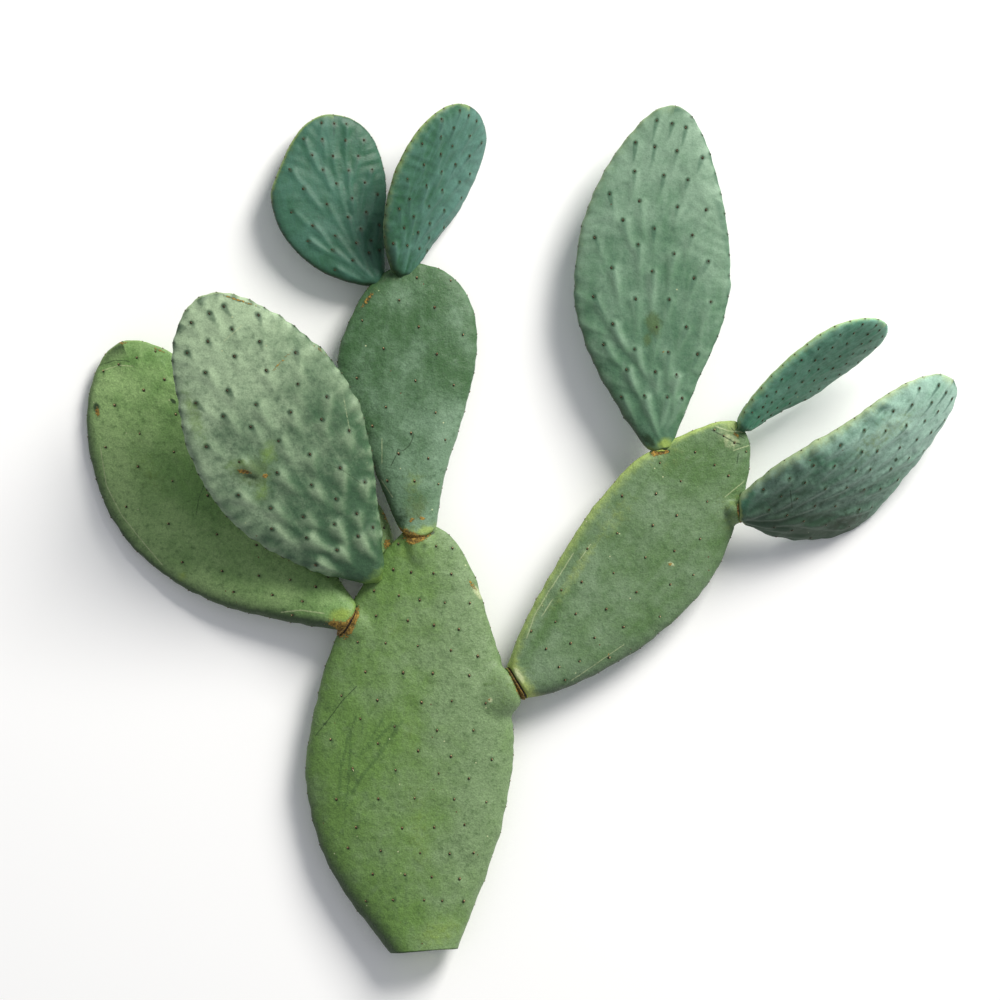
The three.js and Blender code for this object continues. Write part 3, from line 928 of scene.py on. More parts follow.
# deep is the dark green of nicks, and of the painted shade in the pits, the creases and on the rims that
# face down.
COMMON = {"deep": "1e3518", "olive": "52683a", "pale": "c3cc9e"}
CORK_DARK, CORK_LIGHT = "4a3614", "b49040"
SPECK_DARK, SPECK_PALE = "5c3d22", "b9c294"
LIGHT_GRAIN = (0.1, 0.15)  # how far from 1 the grain takes the skin's brightness, and more with age
WAX_IOR = 1.45
WAX_ROUGHNESS = (0.25, 0.42)  # how much the clouds of bloom add, and the least roughness
CORK_ROUGHER = 0.35


print(len(LAYERS), "layers of colour, frayed by", len(NOISES), "noises")


def frayed(tree, carried, noise, share, low, high, strength):
    """From nothing to full between low and high, with the edge frayed by the noise."""
    value = add(tree, "ShaderNodeMath", {0: noise, 1: share, 2: -share / 2}, operation="MULTIPLY_ADD")
    if carried is not None:
        value = add(tree, "ShaderNodeMath", {0: value, 1: carried}, operation="ADD")
    levels = {"Value": value, "From Min": low, "From Max": high, "To Min": 0.0, "To Max": strength}
    return add(tree, "ShaderNodeMapRange", levels, interpolation_type="SMOOTHSTEP")


# %% [markdown]
# Specks are the centres of a voronoi pattern, with a few of them chosen by its random colours. Some are
# pale grit and dried sap, and some are brown scabs where an insect fed. Old pads have more of both.

# %% Specks
SPECK_SPACING = 11 * MM
SPECK_SIZE = 0.048  # share of the spacing
SPECK_EDGE = 1.7  # where a speck has faded out, in its own sizes
NO_SPECK, LESS_BY_AGE = 0.96, 0.38  # share of centres without a speck, and how much age takes off it
BROWN_SPECKS = 0.4  # share of the specks


def specks(tree, place, age):
    """Where a speck lies, and whether it is pale or brown."""
    centres = add(tree, "ShaderNodeTexVoronoi", {"Vector": place, "Scale": 1 / SPECK_SPACING}, "Distance")
    edge = {"From Min": SPECK_SIZE, "From Max": SPECK_EDGE * SPECK_SIZE}
    dot = add(tree, "ShaderNodeMapRange", {"Value": centres, **edge, "To Min": 1.0, "To Max": 0.0})
    draw = add(tree, "ShaderNodeSeparateColor", {"Color": centres.node.outputs["Color"]})
    least = NO_SPECK - LESS_BY_AGE * age
    chosen = add(tree, "ShaderNodeMath", {0: draw, 1: least}, operation="GREATER_THAN")
    other_draw = draw.node.outputs["Green"]
    is_pale = add(tree, "ShaderNodeMath", {0: other_draw, 1: BROWN_SPECKS}, operation="GREATER_THAN")
    return add(tree, "ShaderNodeMath", {0: dot, 1: chosen}, operation="MULTIPLY"), is_pale


print("a speck is", round(2 * SPECK_SPACING * SPECK_SIZE / MM, 1), "mm across")


# %% [markdown]
# The layers are laid over each other from the leaf green up, and scratches, specks and cork come last.
# Clouds of wax are duller than bare skin, and cork is dull and rough. Three bumps follow: the grain,
# the mottling, and the crust of scabs. The refractive index of plant wax is about 1.45.

# %% Skin material
def skin_material(name, leaf, bloom, shade, fresh, rim_highlight, age, streaky):
    """Leaf is the bare skin, bloom the waxed one, shade the darker green of mottling and rubs and the
    painted shade of the furrows, fresh the newest tissue and rim_highlight the painted highlight on the
    rims that face up and to the left. Age and how streaky the wax is go from 0 to 1."""
    material, tree, shader = new_material(name)
    palette = dict(COMMON, leaf=leaf, bloom=bloom, shade=shade, fresh=fresh, rim_highlight=rim_highlight)
    place = add(tree, "ShaderNodeTexCoord", {}, "Object")
    flow = add(tree, "ShaderNodeAttribute", {}, "Vector", attribute_name="flow")
    carried = {key: add(tree, "ShaderNodeAttribute", {}, "Fac", attribute_name=key) for key in CARRIED}
    noises = {}
    for key, (size, detail, roughness) in NOISES.items():
        settings = {"Vector": place, "Scale": 1 / size, "Detail": detail, "Roughness": roughness}
        noises[key] = add(tree, "ShaderNodeTexNoise", settings)
    noises["streaks"] = add(tree, "ShaderNodeTexNoise", {"Vector": flow, "Scale": 1.0, "Detail": 3.0,
                                                         "Roughness": 0.5, "Distortion": 0.3})
    colour = leaf
    strengths = {"streaks": streaky, "mottle": 0.4 + 0.6 * age}
    for key, noise, share, low, high, over, strength in LAYERS:
        strength *= 1 if key not in (None, "wax") else strengths.get(noise, 1)
        mask = frayed(tree, carried.get(key), noises[noise], share, low, high, strength)
        colour = add(tree, "ShaderNodeMix", {FACTOR: mask, UNDER: colour, OVER: palette[over]}, **COLOURS)
    for key, over, strength, softness in LINE_LAYERS:
        off = add(tree, "ShaderNodeAttribute", {}, "Fac", attribute_name=key + "_off")
        bent = {0: noises["mottle"], 1: LINE_WOBBLE, 2: off}
        off = add(tree, "ShaderNodeMath", bent, operation="MULTIPLY_ADD")
        off = add(tree, "ShaderNodeMath", {0: off, 1: LINE_WOBBLE / 2}, operation="SUBTRACT")
        off = add(tree, "ShaderNodeMath", {0: off}, operation="ABSOLUTE")
        edge = {"From Min": LINE_HALF_WIDTH, "From Max": LINE_HALF_WIDTH + softness}
        line = add(tree, "ShaderNodeMapRange", {"Value": off, **edge, "To Min": 1.0, "To Max": 0.0})
        near = frayed(tree, carried[key], noises["crust"], 1.7, 0.25, 0.8, strength)
        mask = add(tree, "ShaderNodeMath", {0: line, 1: near}, operation="MULTIPLY")
        colour = add(tree, "ShaderNodeMix", {FACTOR: mask, UNDER: colour, OVER: palette[over]}, **COLOURS)
    swing = LIGHT_GRAIN[0] + LIGHT_GRAIN[1] * age
    grained = add(tree, "ShaderNodeMapRange", {"Value": noises["grain"], "From Min": 0.3, "From Max": 0.7,
                                               "To Min": 1 - swing, "To Max": 1 + swing})
    colour = add(tree, "ShaderNodeHueSaturation", {"Color": colour, "Value": grained}, "Color")
    dots, is_pale = specks(tree, place, age)
    speck = add(tree, "ShaderNodeMix", {FACTOR: is_pale, UNDER: SPECK_DARK, OVER: SPECK_PALE}, **COLOURS)
    colour = add(tree, "ShaderNodeMix", {FACTOR: dots, UNDER: colour, OVER: speck}, **COLOURS)
    tone = frayed(tree, None, noises["crust"], 1.0, -0.16, 0.2, 1.0)
    bark = add(tree, "ShaderNodeMix", {FACTOR: tone, UNDER: CORK_DARK, OVER: CORK_LIGHT}, **COLOURS)
    scab = frayed(tree, carried["cork"], noises["crust"], 1.8, 0.4, 0.64, 0.95)
    colour = add(tree, "ShaderNodeMix", {FACTOR: scab, UNDER: colour, OVER: bark}, **COLOURS)
    tree.links.new(colour, shader.inputs["Base Color"])

    dull = {0: noises["clouds"], 1: WAX_ROUGHNESS[0], 2: WAX_ROUGHNESS[1]}
    dull = add(tree, "ShaderNodeMath", dull, operation="MULTIPLY_ADD")
    dull = add(tree, "ShaderNodeMath", {0: scab, 1: CORK_ROUGHER, 2: dull}, operation="MULTIPLY_ADD")
    tree.links.new(dull, shader.inputs["Roughness"])
    shader.inputs["IOR"].default_value = WAX_IOR

    crust = add(tree, "ShaderNodeMath", {0: scab, 1: noises["crust"]}, operation="MULTIPLY")
    relief = [(noises["grain"], 0.5, 0.3), (noises["mottle"], 0.9, 0.4 + 0.9 * age), (crust, 0.9, 1.0)]
    normal = {}  # nothing is under the first bump, and each goes on from the one before
    for height, strength, depth in relief:
        bump = {"Height": height, "Strength": strength, "Distance": depth * MM, **normal}
        normal = {"Normal": add(tree, "ShaderNodeBump", bump)}
    tree.links.new(normal["Normal"], shader.inputs["Normal"])
    return material


print("a skin is mixed from", len(LAYERS) + len(LINE_LAYERS), "layers, with specks and cork over them")


# %% [markdown]
# The pads differ in age and in how much light they saw, so they differ in green. The old pads low on
# the branch are warm and scarred. The tall pad and the front one are thick with wax, and the young
# ones at the top are blue-green and clean.

# %% Skin colours
SKIN_TONES = {  # name of the finish, then leaf, bloom, shade, fresh, rim_highlight, age and streaky, as above
    "trunk": ("old_cuticle_trunk", "61833f", "758e64", "3d5c2c", "84a048", "8fb05c", 0.9, 0.2),
    "left_back": ("old_cuticle_left", "658a4a", "94b274", "41632f", "8ea648", "94b06c", 0.8, 0.3),
    "left_front": ("bloomed_cuticle_front", "426444", "a2b995", "2c4b34", "7c9c48", "9cb284", 0.3, 0.55),
    "rear_small": ("young_cuticle_rear", "587a3c", "7f9a66", "3c5a2a", "94aa4c", "a3b06c", 0.9, 0.2),
    "mid_upper": ("grown_cuticle_middle", "3c6038", "728f74", "2d4e2f", "90a854", "7fa060", 0.7, 0.3),
    "top_left": ("young_cuticle_top_left", "2b5a3f", "426e5e", "1e4434", "5e8a48", "8fa85e", 0.1, 0.6),
    "top_right": ("young_cuticle_top_right", "2e5e40", "5a8478", "214636", "6a9448", "90a862", 0.1, 0.8),
    "right": ("grown_cuticle_right", "51713f", "778f6f", "3c5d34", "a4b460", "9eb466", 0.7, 0.4),
    "tall": ("bloomed_cuticle_tall", "557c5c", "86a38a", "3a6149", "98b050", "9cb284", 0.1, 0.55),
    # The right small pad's tones are lighter than its own green: a painted brightening that offsets the
    # shade on its face, which is turned away from the key light.
    "right_small": ("young_cuticle_right", "62b08e", "9ed2bc", "488a70", "84a454", "a4bc7c", 0.1, 0.9),
    "right_lower": ("young_cuticle_low", "5b9874", "a3c6b4", "2c5a48", "a8b870", "a8bc8c", 0.2, 1.1),
}
SKINS = {name: skin_material(*tones) for name, tones in SKIN_TONES.items()}
SLOTS = {
    "trunk": "old_skin", "left_back": "old_skin", "left_front": "waxy_skin", "rear_small": "young_skin",
    "mid_upper": "grown_skin", "top_left": "young_skin", "top_right": "young_skin", "right": "grown_skin",
    "tall": "waxy_skin", "right_small": "young_skin", "right_lower": "young_skin",
}
WAX = {  # how much wax, how much more towards the tip and towards the left rim, and how wide a streak is
    "trunk": (0.48, 0.08, -0.28, 6), "left_back": (0.42, 0.15, 0.15, 7), "left_front": (0.34, 0.95, 0.1, 11),
    "rear_small": (0.3, 0, 0, 5), "mid_upper": (0.45, -0.7, -0.1, 6), "top_left": (0.4, 0, 0, 5),
    "top_right": (0.4, 0.1, -0.35, 5), "right": (0.5, -0.22, 0.04, 8), "tall": (0.42, 0.7, 0, 7),
    "right_small": (0.4, 0.2, 0, 3), "right_lower": (0.45, 0.3, 0.1, 8),
}
SUN_AND_SHADE = {  # how strong the painted highlight on the rim towards the sky is, and the painted shade on the one towards the ground
    "trunk": (0.2, 1.0), "left_back": (0.6, 1.0), "left_front": (0.7, 0.1), "rear_small": (0.8, 0.6),
    "mid_upper": (0.3, 0.7), "top_left": (0.9, 0.7), "top_right": (0.9, 0.8), "right": (1.0, 0.7),
    "tall": (0.6, 0.8), "right_small": (1.1, 0.7), "right_lower": (0.9, 0.9),
}
print(len(SKINS), "skins")


# %% [markdown]
# ## Stumps
#
# An old pad swells under a heavy child until it carries it on a stump. The blank has none, so the skin
# that lies inside a stump's form is pushed out to it, and the fold where the two meet is smoothed by
# hand, as a sculptor would. The largest is the one under the pad on the right.

# %% Push the skin out over the stumps
STUMPS = {  # how far behind the child's foot it is widest, its half-lengths to the child and away from
    # it, and its half-sizes across and through
    "right": (12, (13, 44), 24, 16),
    "left_back": (9, (9.5, 26), 19, 13),
    "mid_upper": (8, (9, 34), 17.5, 12.2),
    "tall": (6, (6.5, 18), 12.5, 9),
    "right_lower": (5, (5.5, 12), 13, 8),
}
STUMP_FULLNESS = 6  # how late a stump closes to its flat end under the child
STUMP_FOLD = 1.9  # the level up to which the skin round a stump is smoothed
FURTHEST_PUSH = 60.0
HALVINGS = 24  # each halves the doubt about how far a point is pushed


def stump_level(points, child):
    """Under 1 inside the stump under a child, 1 on its surface."""
    behind, (near, far), across, through = STUMPS[child]
    foot, _, left, face = stations(PADS[child], 0.0)
    lengthwise = above_joint(points, child)[0] + behind
    end = np.where(lengthwise > 0, np.abs(lengthwise / near) ** STUMP_FULLNESS, (lengthwise / far) ** 2)
    return end + ((points - foot) @ left / across) ** 2 + ((points - foot) @ face / through) ** 2


def push_over_stump(points, outward, child):
    """Move the points inside a stump's form outwards to its surface."""
    inside = stump_level(points, child) < 1
    low, high = np.zeros(inside.sum()), np.full(inside.sum(), FURTHEST_PUSH)
    for _ in range(HALVINGS):
        middle = (low + high) / 2
        still_inside = stump_level(points[inside] + outward[inside] * middle[:, None], child) < 1
        low, high = np.where(still_inside, middle, low), np.where(still_inside, high, middle)
    points[inside] += outward[inside] * low[:, None]
    return points


def smooth_part(piece, chosen, rounds):
    """Smooth the chosen points of a piece, in edit mode."""
    select_only(piece)
    bpy.ops.object.mode_set(mode="EDIT")
    bpy.ops.mesh.select_mode(type="VERT")
    bpy.ops.mesh.select_all(action="DESELECT")
    bpy.ops.object.mode_set(mode="OBJECT")
    piece.data.vertices.foreach_set("select", chosen)
    bpy.ops.object.mode_set(mode="EDIT")
    bpy.ops.mesh.vertices_smooth(factor=0.5, repeat=rounds)
    bpy.ops.object.mode_set(mode="OBJECT")


print(len(STUMPS), "stumps")


# %% [markdown]
# ## Shape the pads
#
# Every pad goes through the same steps: blank, rounded foot, tubercles, stumps, and a slow unevenness
# from Displace modifiers. Sculpting each by hand would look as good, but eleven pads by one rule stay
# true to each other. The height and length of the tubercles come from the pad's age.

# %% Move points, and swell a piece
WAVES = [(60, 2.0, 0), (26, 0, 1), (11, 0, 0.3)]  # size, height, and height for each unit of unevenness


def set_positions(piece, points):
    """Move a piece's points, and lift any that are under the floor onto it."""
    points[:, 2] = np.maximum(points[:, 2], 0)
    piece.data.vertices.foreach_set("co", (points * MM).ravel())
    piece.data.update()


def normals(piece):
    flat = np.empty(len(piece.data.vertices) * 3)
    piece.data.vertex_normals.foreach_get("vector", flat)
    return flat.reshape(-1, 3)


def swell(piece, size, height):
    """A slow unevenness, as growth leaves it, by an applied Displace modifier."""
    clouds = bpy.data.textures.new(f"{piece.name}_{size}", "CLOUDS")
    clouds.noise_scale = size * MM
    clouds.noise_depth = 1
    select_only(piece)
    modifier = piece.modifiers.new("swell", "DISPLACE")
    modifier.texture = clouds
    modifier.texture_coords = "LOCAL"
    modifier.strength = height * MM
    bpy.ops.object.modifier_apply(modifier=modifier.name)


print("every pad has swells of", [size for size, *_ in WAVES], "mm")


# %% [markdown]
# The tubercles are numbers on the blank's points, so they are pushed out along the normals before
# anything else bends the skin. Near the foot they fade, because a neck is smooth.

# %% Shape a pad
TUBERCLES = {  # height, more towards the base, half-width, half-length towards the tip and the base, how long the painted shade behind an areole is and how dark, height of the rim's knuckles, and unevenness
    # long the furrow behind an areole is and how dark, height of the rim's knuckles, and unevenness
    "trunk": (0.9, 0.0, 7, 6, 10, 9, 0.8, 1.0, 1.8),
    "left_back": (0.9, 0.0, 7, 6, 10, 7, 0.7, 1.0, 2.2),
    "left_front": (2.9, 0.6, 8, 6, 22, 12, 1.5, 2.0, 2.2),
    "rear_small": (1.2, 0.0, 4, 4, 8, 4, 0.8, 1.0, 0.8),
    "mid_upper": (0.9, 0.0, 7, 6, 12, 8, 0.7, 1.0, 1.4),
    "top_left": (2.4, 0.0, 4.6, 4, 30, 14, 1.3, 0.7, 1.0),
    "top_right": (2.8, 0.0, 4.6, 4, 30, 14, 1.3, 0.7, 1.0),
    "right": (0.8, 0.0, 7, 6, 12, 7, 0.7, 1.0, 1.4),
    "tall": (2.6, 0.5, 6.0, 5, 32, 20, 1.6, 1.3, 1.4),
    "right_small": (1.7, 0.0, 3.2, 3, 22, 8, 1.1, 0.7, 0.8),
    "right_lower": (3.0, 0.5, 4.8, 4, 34, 16, 1.5, 1.0, 2.4),
}
PIT_DEPTH = 0.5
RIM_START = 0.72  # share of the half-width
RIM_AT_TIP = (0.93, 0.06)  # share of the length from which the tip counts as rim, and over what share
NECK_FADE = 8  # the higher, the closer to the foot's middle the relief goes


def shape_pad(name):
    """A pad's finished form, the address of each point, and what its relief is there."""
    pad = PADS[name]
    piece, points, address = blank(pad, name + "_skin", CUT_RINGS if name == "trunk" else FOOT_RINGS)
    if name in PARENTS:
        points = round_off_foot(name, points, address)
    s, across = address["s"], address["across"]
    height, to_base, width, front, back, furrow_shade, gloom, knuckle, uneven = TUBERCLES[name]
    raised, pitted, painted_shade = areole_relief(pad, points, address, width, front, back, furrow_shade)
    beside = (np.abs(across) - RIM_START) / (1 - RIM_START)
    rim = np.clip(np.maximum(beside, (s - RIM_AT_TIP[0]) / RIM_AT_TIP[1]), 0, 1)
    set_positions(piece, points)
    outward = normals(piece)
    face_height = height * (1 + to_base * (1 - 2 * s))
    lift = raised * (face_height + (knuckle - face_height) * rim) - pitted * PIT_DEPTH
    points = points + outward * (lift * address["core"] ** NECK_FADE)[:, None]
    carried = [child for child in STUMPS if PARENTS[child] == name]
    for child in carried:
        points = push_over_stump(points, outward, child)
    set_positions(piece, points)
    for child in carried:
        smooth_part(piece, stump_level(points, child) < STUMP_FOLD, int(sum(STUMPS[child][1]) / 4))
    for size, wave, by_unevenness in WAVES:
        swell(piece, size, wave + by_unevenness * uneven)
    set_positions(piece, positions(piece))
    # areole and furrow_shade are painted shade: in the pit round each areole, and in the furrow behind it
    relief = dict(outward=outward, rim=rim, raised=raised, pitted=pitted, tall=face_height / 3,
                  areole=pitted * gloom, furrow_shade=painted_shade * gloom)
    return piece, address, relief


shaped_pads = {name: shape_pad(name) for name in PADS}
print({name: len(piece.data.polygons) for name, (piece, *_) in shaped_pads.items()}, "faces")


# %% [markdown]
# ## Clothe the pads
#
# The material is told of each point by numbers that the mesh carries: how much wax lies there, how
# much painted shade its furrows get, how fresh, corky or scratched it is. They could be painted as
# pictures, but numbers on the points need no unwrapping and stay on the skin. The rims that face up and
# to the left get a painted highlight in a bleached yellow-green, and those that face down get painted
# shade. The back of a pad that is rolled far over gets painted shade in its shade colour.

# %% Numbers for the skin
# The ways for the painted highlight and the painted shade on the rims: up and to the left, and down.
TOWARDS_SKY = unit(np.array([-0.45, 0.89, 0]))
TOWARDS_GROUND = unit(np.array([-0.35, -0.94, 0]))
FACES_IT = (0.12, 0.6)  # from how square to it a rim counts, and over what span
BEYOND_RIM = 0.8  # how much the very rim counts beside that
FULL_TURN_AWAY = 55  # the roll, in degrees, from which a pad's back gets the full painted shade
WAXED_MORE, RUBBED_LESS = 0.5, 0.6  # what the marks of those names do to the wax
VALLEY_SHADE, VALLEY_SPAN = 0.5, 1.4  # how dark the painted shade between mounds is, and how fast a mound ends it
CREASE_INSIDE = 4  # the higher, the closer to the rim of the foot the crease stays
BACK_STREAKS = 200  # keeps the streaks of the back apart from those of the face


def facing_towards(outward, way):
    """From 0 to 1, how squarely the skin faces a way."""
    return np.clip((outward @ way - FACES_IT[0]) / FACES_IT[1], 0, 1)


def rim_towards(way, outward, side, rim, facing):
    """From 0 to 1, how much a point belongs to the rim that faces a way."""
    squarely = facing_towards(outward, way) * np.where(facing > 0, 1, rim)
    return np.maximum(squarely, BEYOND_RIM * rim**2 * facing_towards(side, way))


def carry(piece, values):
    """Store numbers on a piece's points, under the names that its material reads."""
    for key, value in values.items():
        kind, field = ("FLOAT_VECTOR", "vector") if value.ndim == 2 else ("FLOAT", "value")
        layer = piece.data.attributes.new(key, kind, "POINT")
        layer.data.foreach_set(field, value.astype(np.float32).ravel())


def clothe_pad(name):
    pad, slot = PADS[name], SLOTS[name]
    piece, address, relief = shaped_pads[name]
    s, across, facing, core = (address[key] for key in ("s", "across", "facing", "core"))
    outward, rim, raised, tall = (relief[key] for key in ("outward", "rim", "raised", "tall"))
    points = positions(piece)
    fresh, cork, crease = joint_stains(name, points, s)
    marks = marks_on(name, points, facing)
    wax, to_tip, to_left, streak = WAX[name]
    wax = wax + to_tip * (s - 0.5) + to_left * across
    wax = wax + marks["wax_and_sheen"] * WAXED_MORE - marks["rubbed"] * RUBBED_LESS
    valley = VALLEY_SHADE * np.clip(1 - VALLEY_SPAN * raised, 0, 1) * tall
    # The back of a rolled pad gets painted shade, through furrow_shade.
    behind = np.where(facing < 0, (1 - rim) * pad["roll"][0] / FULL_TURN_AWAY, 0)
    rim_highlight, shade = SUN_AND_SHADE[name]
    side = stations(pad, s)[2] * np.sign(across)[:, None]
    round_it = across * half_width(pad, s, across)
    flow = [round_it, s * midrib_length(pad) / STREAK_STRETCH, facing * BACK_STREAKS]
    carry(piece, {
        "wax": wax,
        # bloom on the ridge crests, partly wax and partly a painted highlight
        "raised": raised * (1 - relief["pitted"]) * tall,
        # painted shade in the pit round each areole
        "areole": relief["areole"],
        # painted shade behind each areole, between the mounds, and on the backs of rolled pads
        "furrow_shade": np.maximum.reduce([relief["furrow_shade"], valley, behind]),
        # painted highlight on the rims that face up and left, painted shade on those that face down
        "sunlit_rim": rim_highlight * rim_towards(TOWARDS_SKY, outward, side, rim, facing),
        "shaded": shade * rim_towards(TOWARDS_GROUND, outward, side, rim, facing),
        "fresh": np.maximum(fresh, marks["fresh"]),
        "cork": np.maximum(cork, marks["cork"]),
        "worn": marks["worn"],
        # painted shade in the crease at the foot, with the dark marks
        "dark": np.maximum(crease * core**CREASE_INSIDE, marks["dark"]),
        "olive": marks["olive"],
        **scratched(name, points, facing),
        "core": core,
        "flow": np.stack(flow, 1) / streak,
    })
    piece.data.materials.append(SKINS[name])
    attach(piece, "root")
    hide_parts(name + "_pad")
    return piece


skins = {name: clothe_pad(name) for name in PADS}
print(len(skins["trunk"].data.attributes), "layers of numbers on the trunk's skin")


# %% [markdown]
# ## The cut end of the trunk
#
# The branch was cut across with a knife. The cut shows a thin dark rind, a green layer under it, and
# pale flesh with a ring of vascular strands. Sap that dried on it gives it a slight shine. The cut is
# part of the trunk's own mesh, so it gets the second material of that piece. The mesh carries the
# distance from the middle as "core".

# %% Cut flesh
CUT_BANDS = [(0.0, "c9cf98"), (0.42, "d3d8a4"), (0.6, "b7c784"), (0.86, "86a552"), (0.96, "4f7431")]
FIBRE_SIZE = 3 * MM
STRAND_SPACING = 4.5 * MM
STRAND_RING = (0.52, 0.13)  # how far from the middle the strands lie, and how wide their ring is


def cut_flesh_material():
    material, tree, shader = new_material("cut_flesh")
    place = add(tree, "ShaderNodeTexCoord", {}, "Object")
    core = add(tree, "ShaderNodeAttribute", {}, "Fac", attribute_name="core")
    fibre = add(tree, "ShaderNodeTexNoise", {"Vector": place, "Scale": 1 / FIBRE_SIZE, "Detail": 4.0})
    wavy = add(tree, "ShaderNodeMath", {0: fibre, 1: 0.12, 2: core}, operation="MULTIPLY_ADD")
    bands = add(tree, "ShaderNodeValToRGB", {"Fac": wavy}, "Color")
    ramp = bands.node.color_ramp
    while len(ramp.elements) < len(CUT_BANDS):
        ramp.elements.new(1.0)
    for element, (where, tone) in zip(ramp.elements, CUT_BANDS):
        element.position, element.color = where, linear(tone)
    strand = add(tree, "ShaderNodeTexVoronoi", {"Vector": place, "Scale": 1 / STRAND_SPACING}, "Distance")
    dot = add(tree, "ShaderNodeMapRange", {"Value": strand, "From Min": 0.16, "From Max": 0.26,
                                           "To Min": 0.7, "To Max": 0.0})
    within = {0: core, 1: STRAND_RING[0], 2: STRAND_RING[1]}
    ring = add(tree, "ShaderNodeMath", within, operation="COMPARE")
    strands = add(tree, "ShaderNodeMath", {0: dot, 1: ring}, operation="MULTIPLY")
    colour = add(tree, "ShaderNodeMix", {FACTOR: strands, UNDER: bands, OVER: "8c8a4e"}, **COLOURS)
    tree.links.new(colour, shader.inputs["Base Color"])
    shader.inputs["Roughness"].default_value = 0.35
    normal = add(tree, "ShaderNodeBump", {"Height": fibre, "Strength": 0.6, "Distance": 0.8 * MM})
    tree.links.new(normal, shader.inputs["Normal"])
    return material


def clothe_cut(piece):
    """Give the faces of the foot the second material."""
    piece.data.materials.append(cut_flesh_material())
    count = len(piece.data.polygons)
    corners, starts = np.empty(len(piece.data.loops), int), np.empty(count, int)
    piece.data.loops.foreach_get("vertex_index", corners)
    piece.data.polygons.foreach_get("loop_start", starts)
    core = np.empty(len(piece.data.vertices), np.float32)
    piece.data.attributes["core"].data.foreach_get("value", core)
    is_cut = np.minimum.reduceat(core[corners], starts) < 1
    piece.data.polygons.foreach_set("material_index", is_cut.astype(int))
    return is_cut.sum()


print(clothe_cut(skins["trunk"]), "faces of cut flesh")


# %% [markdown]
# ## Areoles
#
# An areole is an oval cushion of brown felt, 3 to 4 mm long, with a tuft of glochids: straw-coloured
# bristles finer than a hair. A few on the old pads still hold a short spine. One of each is modelled
# by hand from primitives: a flattened sphere cut off below, a small dome for the tuft, and thin cones
# for the bristles. The real bristles would not show, so these are few and a little stout.

# %% Felt, bristle and spine
def plain_fibre(name, dark, light, size, roughness):
    """Felt, bristle and spine are all dry plant fibre: matt, and uneven in tone."""
    material, tree, shader = new_material(name)
    place = add(tree, "ShaderNodeTexCoord", {}, "Object")
    tone = add(tree, "ShaderNodeTexNoise", {"Vector": place, "Scale": 1 / size, "Detail": 3.0})
    spread = frayed(tree, None, tone, 1.0, -0.2, 0.2, 1.0)
    colour = add(tree, "ShaderNodeMix", {FACTOR: spread, UNDER: dark, OVER: light}, **COLOURS)
    tree.links.new(colour, shader.inputs["Base Color"])
    shader.inputs["Roughness"].default_value = roughness
    normal = add(tree, "ShaderNodeBump", {"Height": tone, "Strength": 0.5, "Distance": size / 4})
    tree.links.new(normal, shader.inputs["Normal"])
    return material


FELT = plain_fibre("areole_felt", "161a0e", "3a361e", 0.8 * MM, 0.95)
BRISTLE = plain_fibre("glochid_straw", "80542c", "e2c898", 1.5 * MM, 0.7)
SPINE = plain_fibre("dry_spine", "c2a070", "efe0bb", 3 * MM, 0.6)
# Sizes in millimetres.
FELT_HALF_SIZES = (1.8, 1.35, 0.85)
FELT_SUNK = 0.5  # how deep in the skin it is cut off
TUFT_PLACE = 0.9  # how far the tuft sits towards the tip
TUFT_SPREAD = 0.4  # how far from the tuft's middle its bristles stand
FIBRE_FOOT = 0.5  # how high over the skin bristles and spines start
BRISTLE_LENGTH = 1.9
BRISTLE_RADIUS = 0.16
SPINE_LENGTH = 5.0
SPINE_RADIUS = 0.4


def shaped(half_sizes, place=(0, 0, 0)):
    """Size the primitive just added, in millimetres, and put it in place, in its mesh."""
    piece = bpy.context.object
    bpy.ops.transform.resize(value=[h * MM for h in half_sizes])
    piece.location = Vector(place) * MM
    bpy.ops.object.transform_apply(location=True, rotation=True, scale=True)
    return piece


def felt_cushion():
    deselect()
    bpy.ops.mesh.primitive_uv_sphere_add(segments=10, ring_count=6, radius=1)
    cushion = shaped(FELT_HALF_SIZES)
    bpy.ops.object.mode_set(mode="EDIT")
    bpy.ops.mesh.select_all(action="SELECT")
    foot = (0, 0, -FELT_SUNK * MM)
    bpy.ops.mesh.bisect(plane_co=foot, plane_no=(0, 0, -1), use_fill=True, clear_outer=True)
    bpy.ops.object.mode_set(mode="OBJECT")
    bpy.ops.object.shade_smooth()
    cushion.data.materials.append(FELT)
    return cushion


def dry_cone(radius, length, lean, turn, material, foot):
    """A bristle or a spine: a three-sided cone leaning out of the felt."""
    deselect()
    bpy.ops.mesh.primitive_cone_add(vertices=3, radius1=radius * MM, radius2=0, depth=length * MM)
    cone = shaped((1 / MM, 1 / MM, 1 / MM), (0, 0, length / 2))
    cone.rotation_euler = (0, lean, turn)
    cone.location = Vector(foot) * MM
    bpy.ops.object.transform_apply(location=True, rotation=True, scale=False)
    cone.data.materials.append(material)
    return cone


def join(pieces, name):
    select_only(*pieces)
    bpy.ops.object.join()
    joined = bpy.context.object
    joined.name = name
    return joined


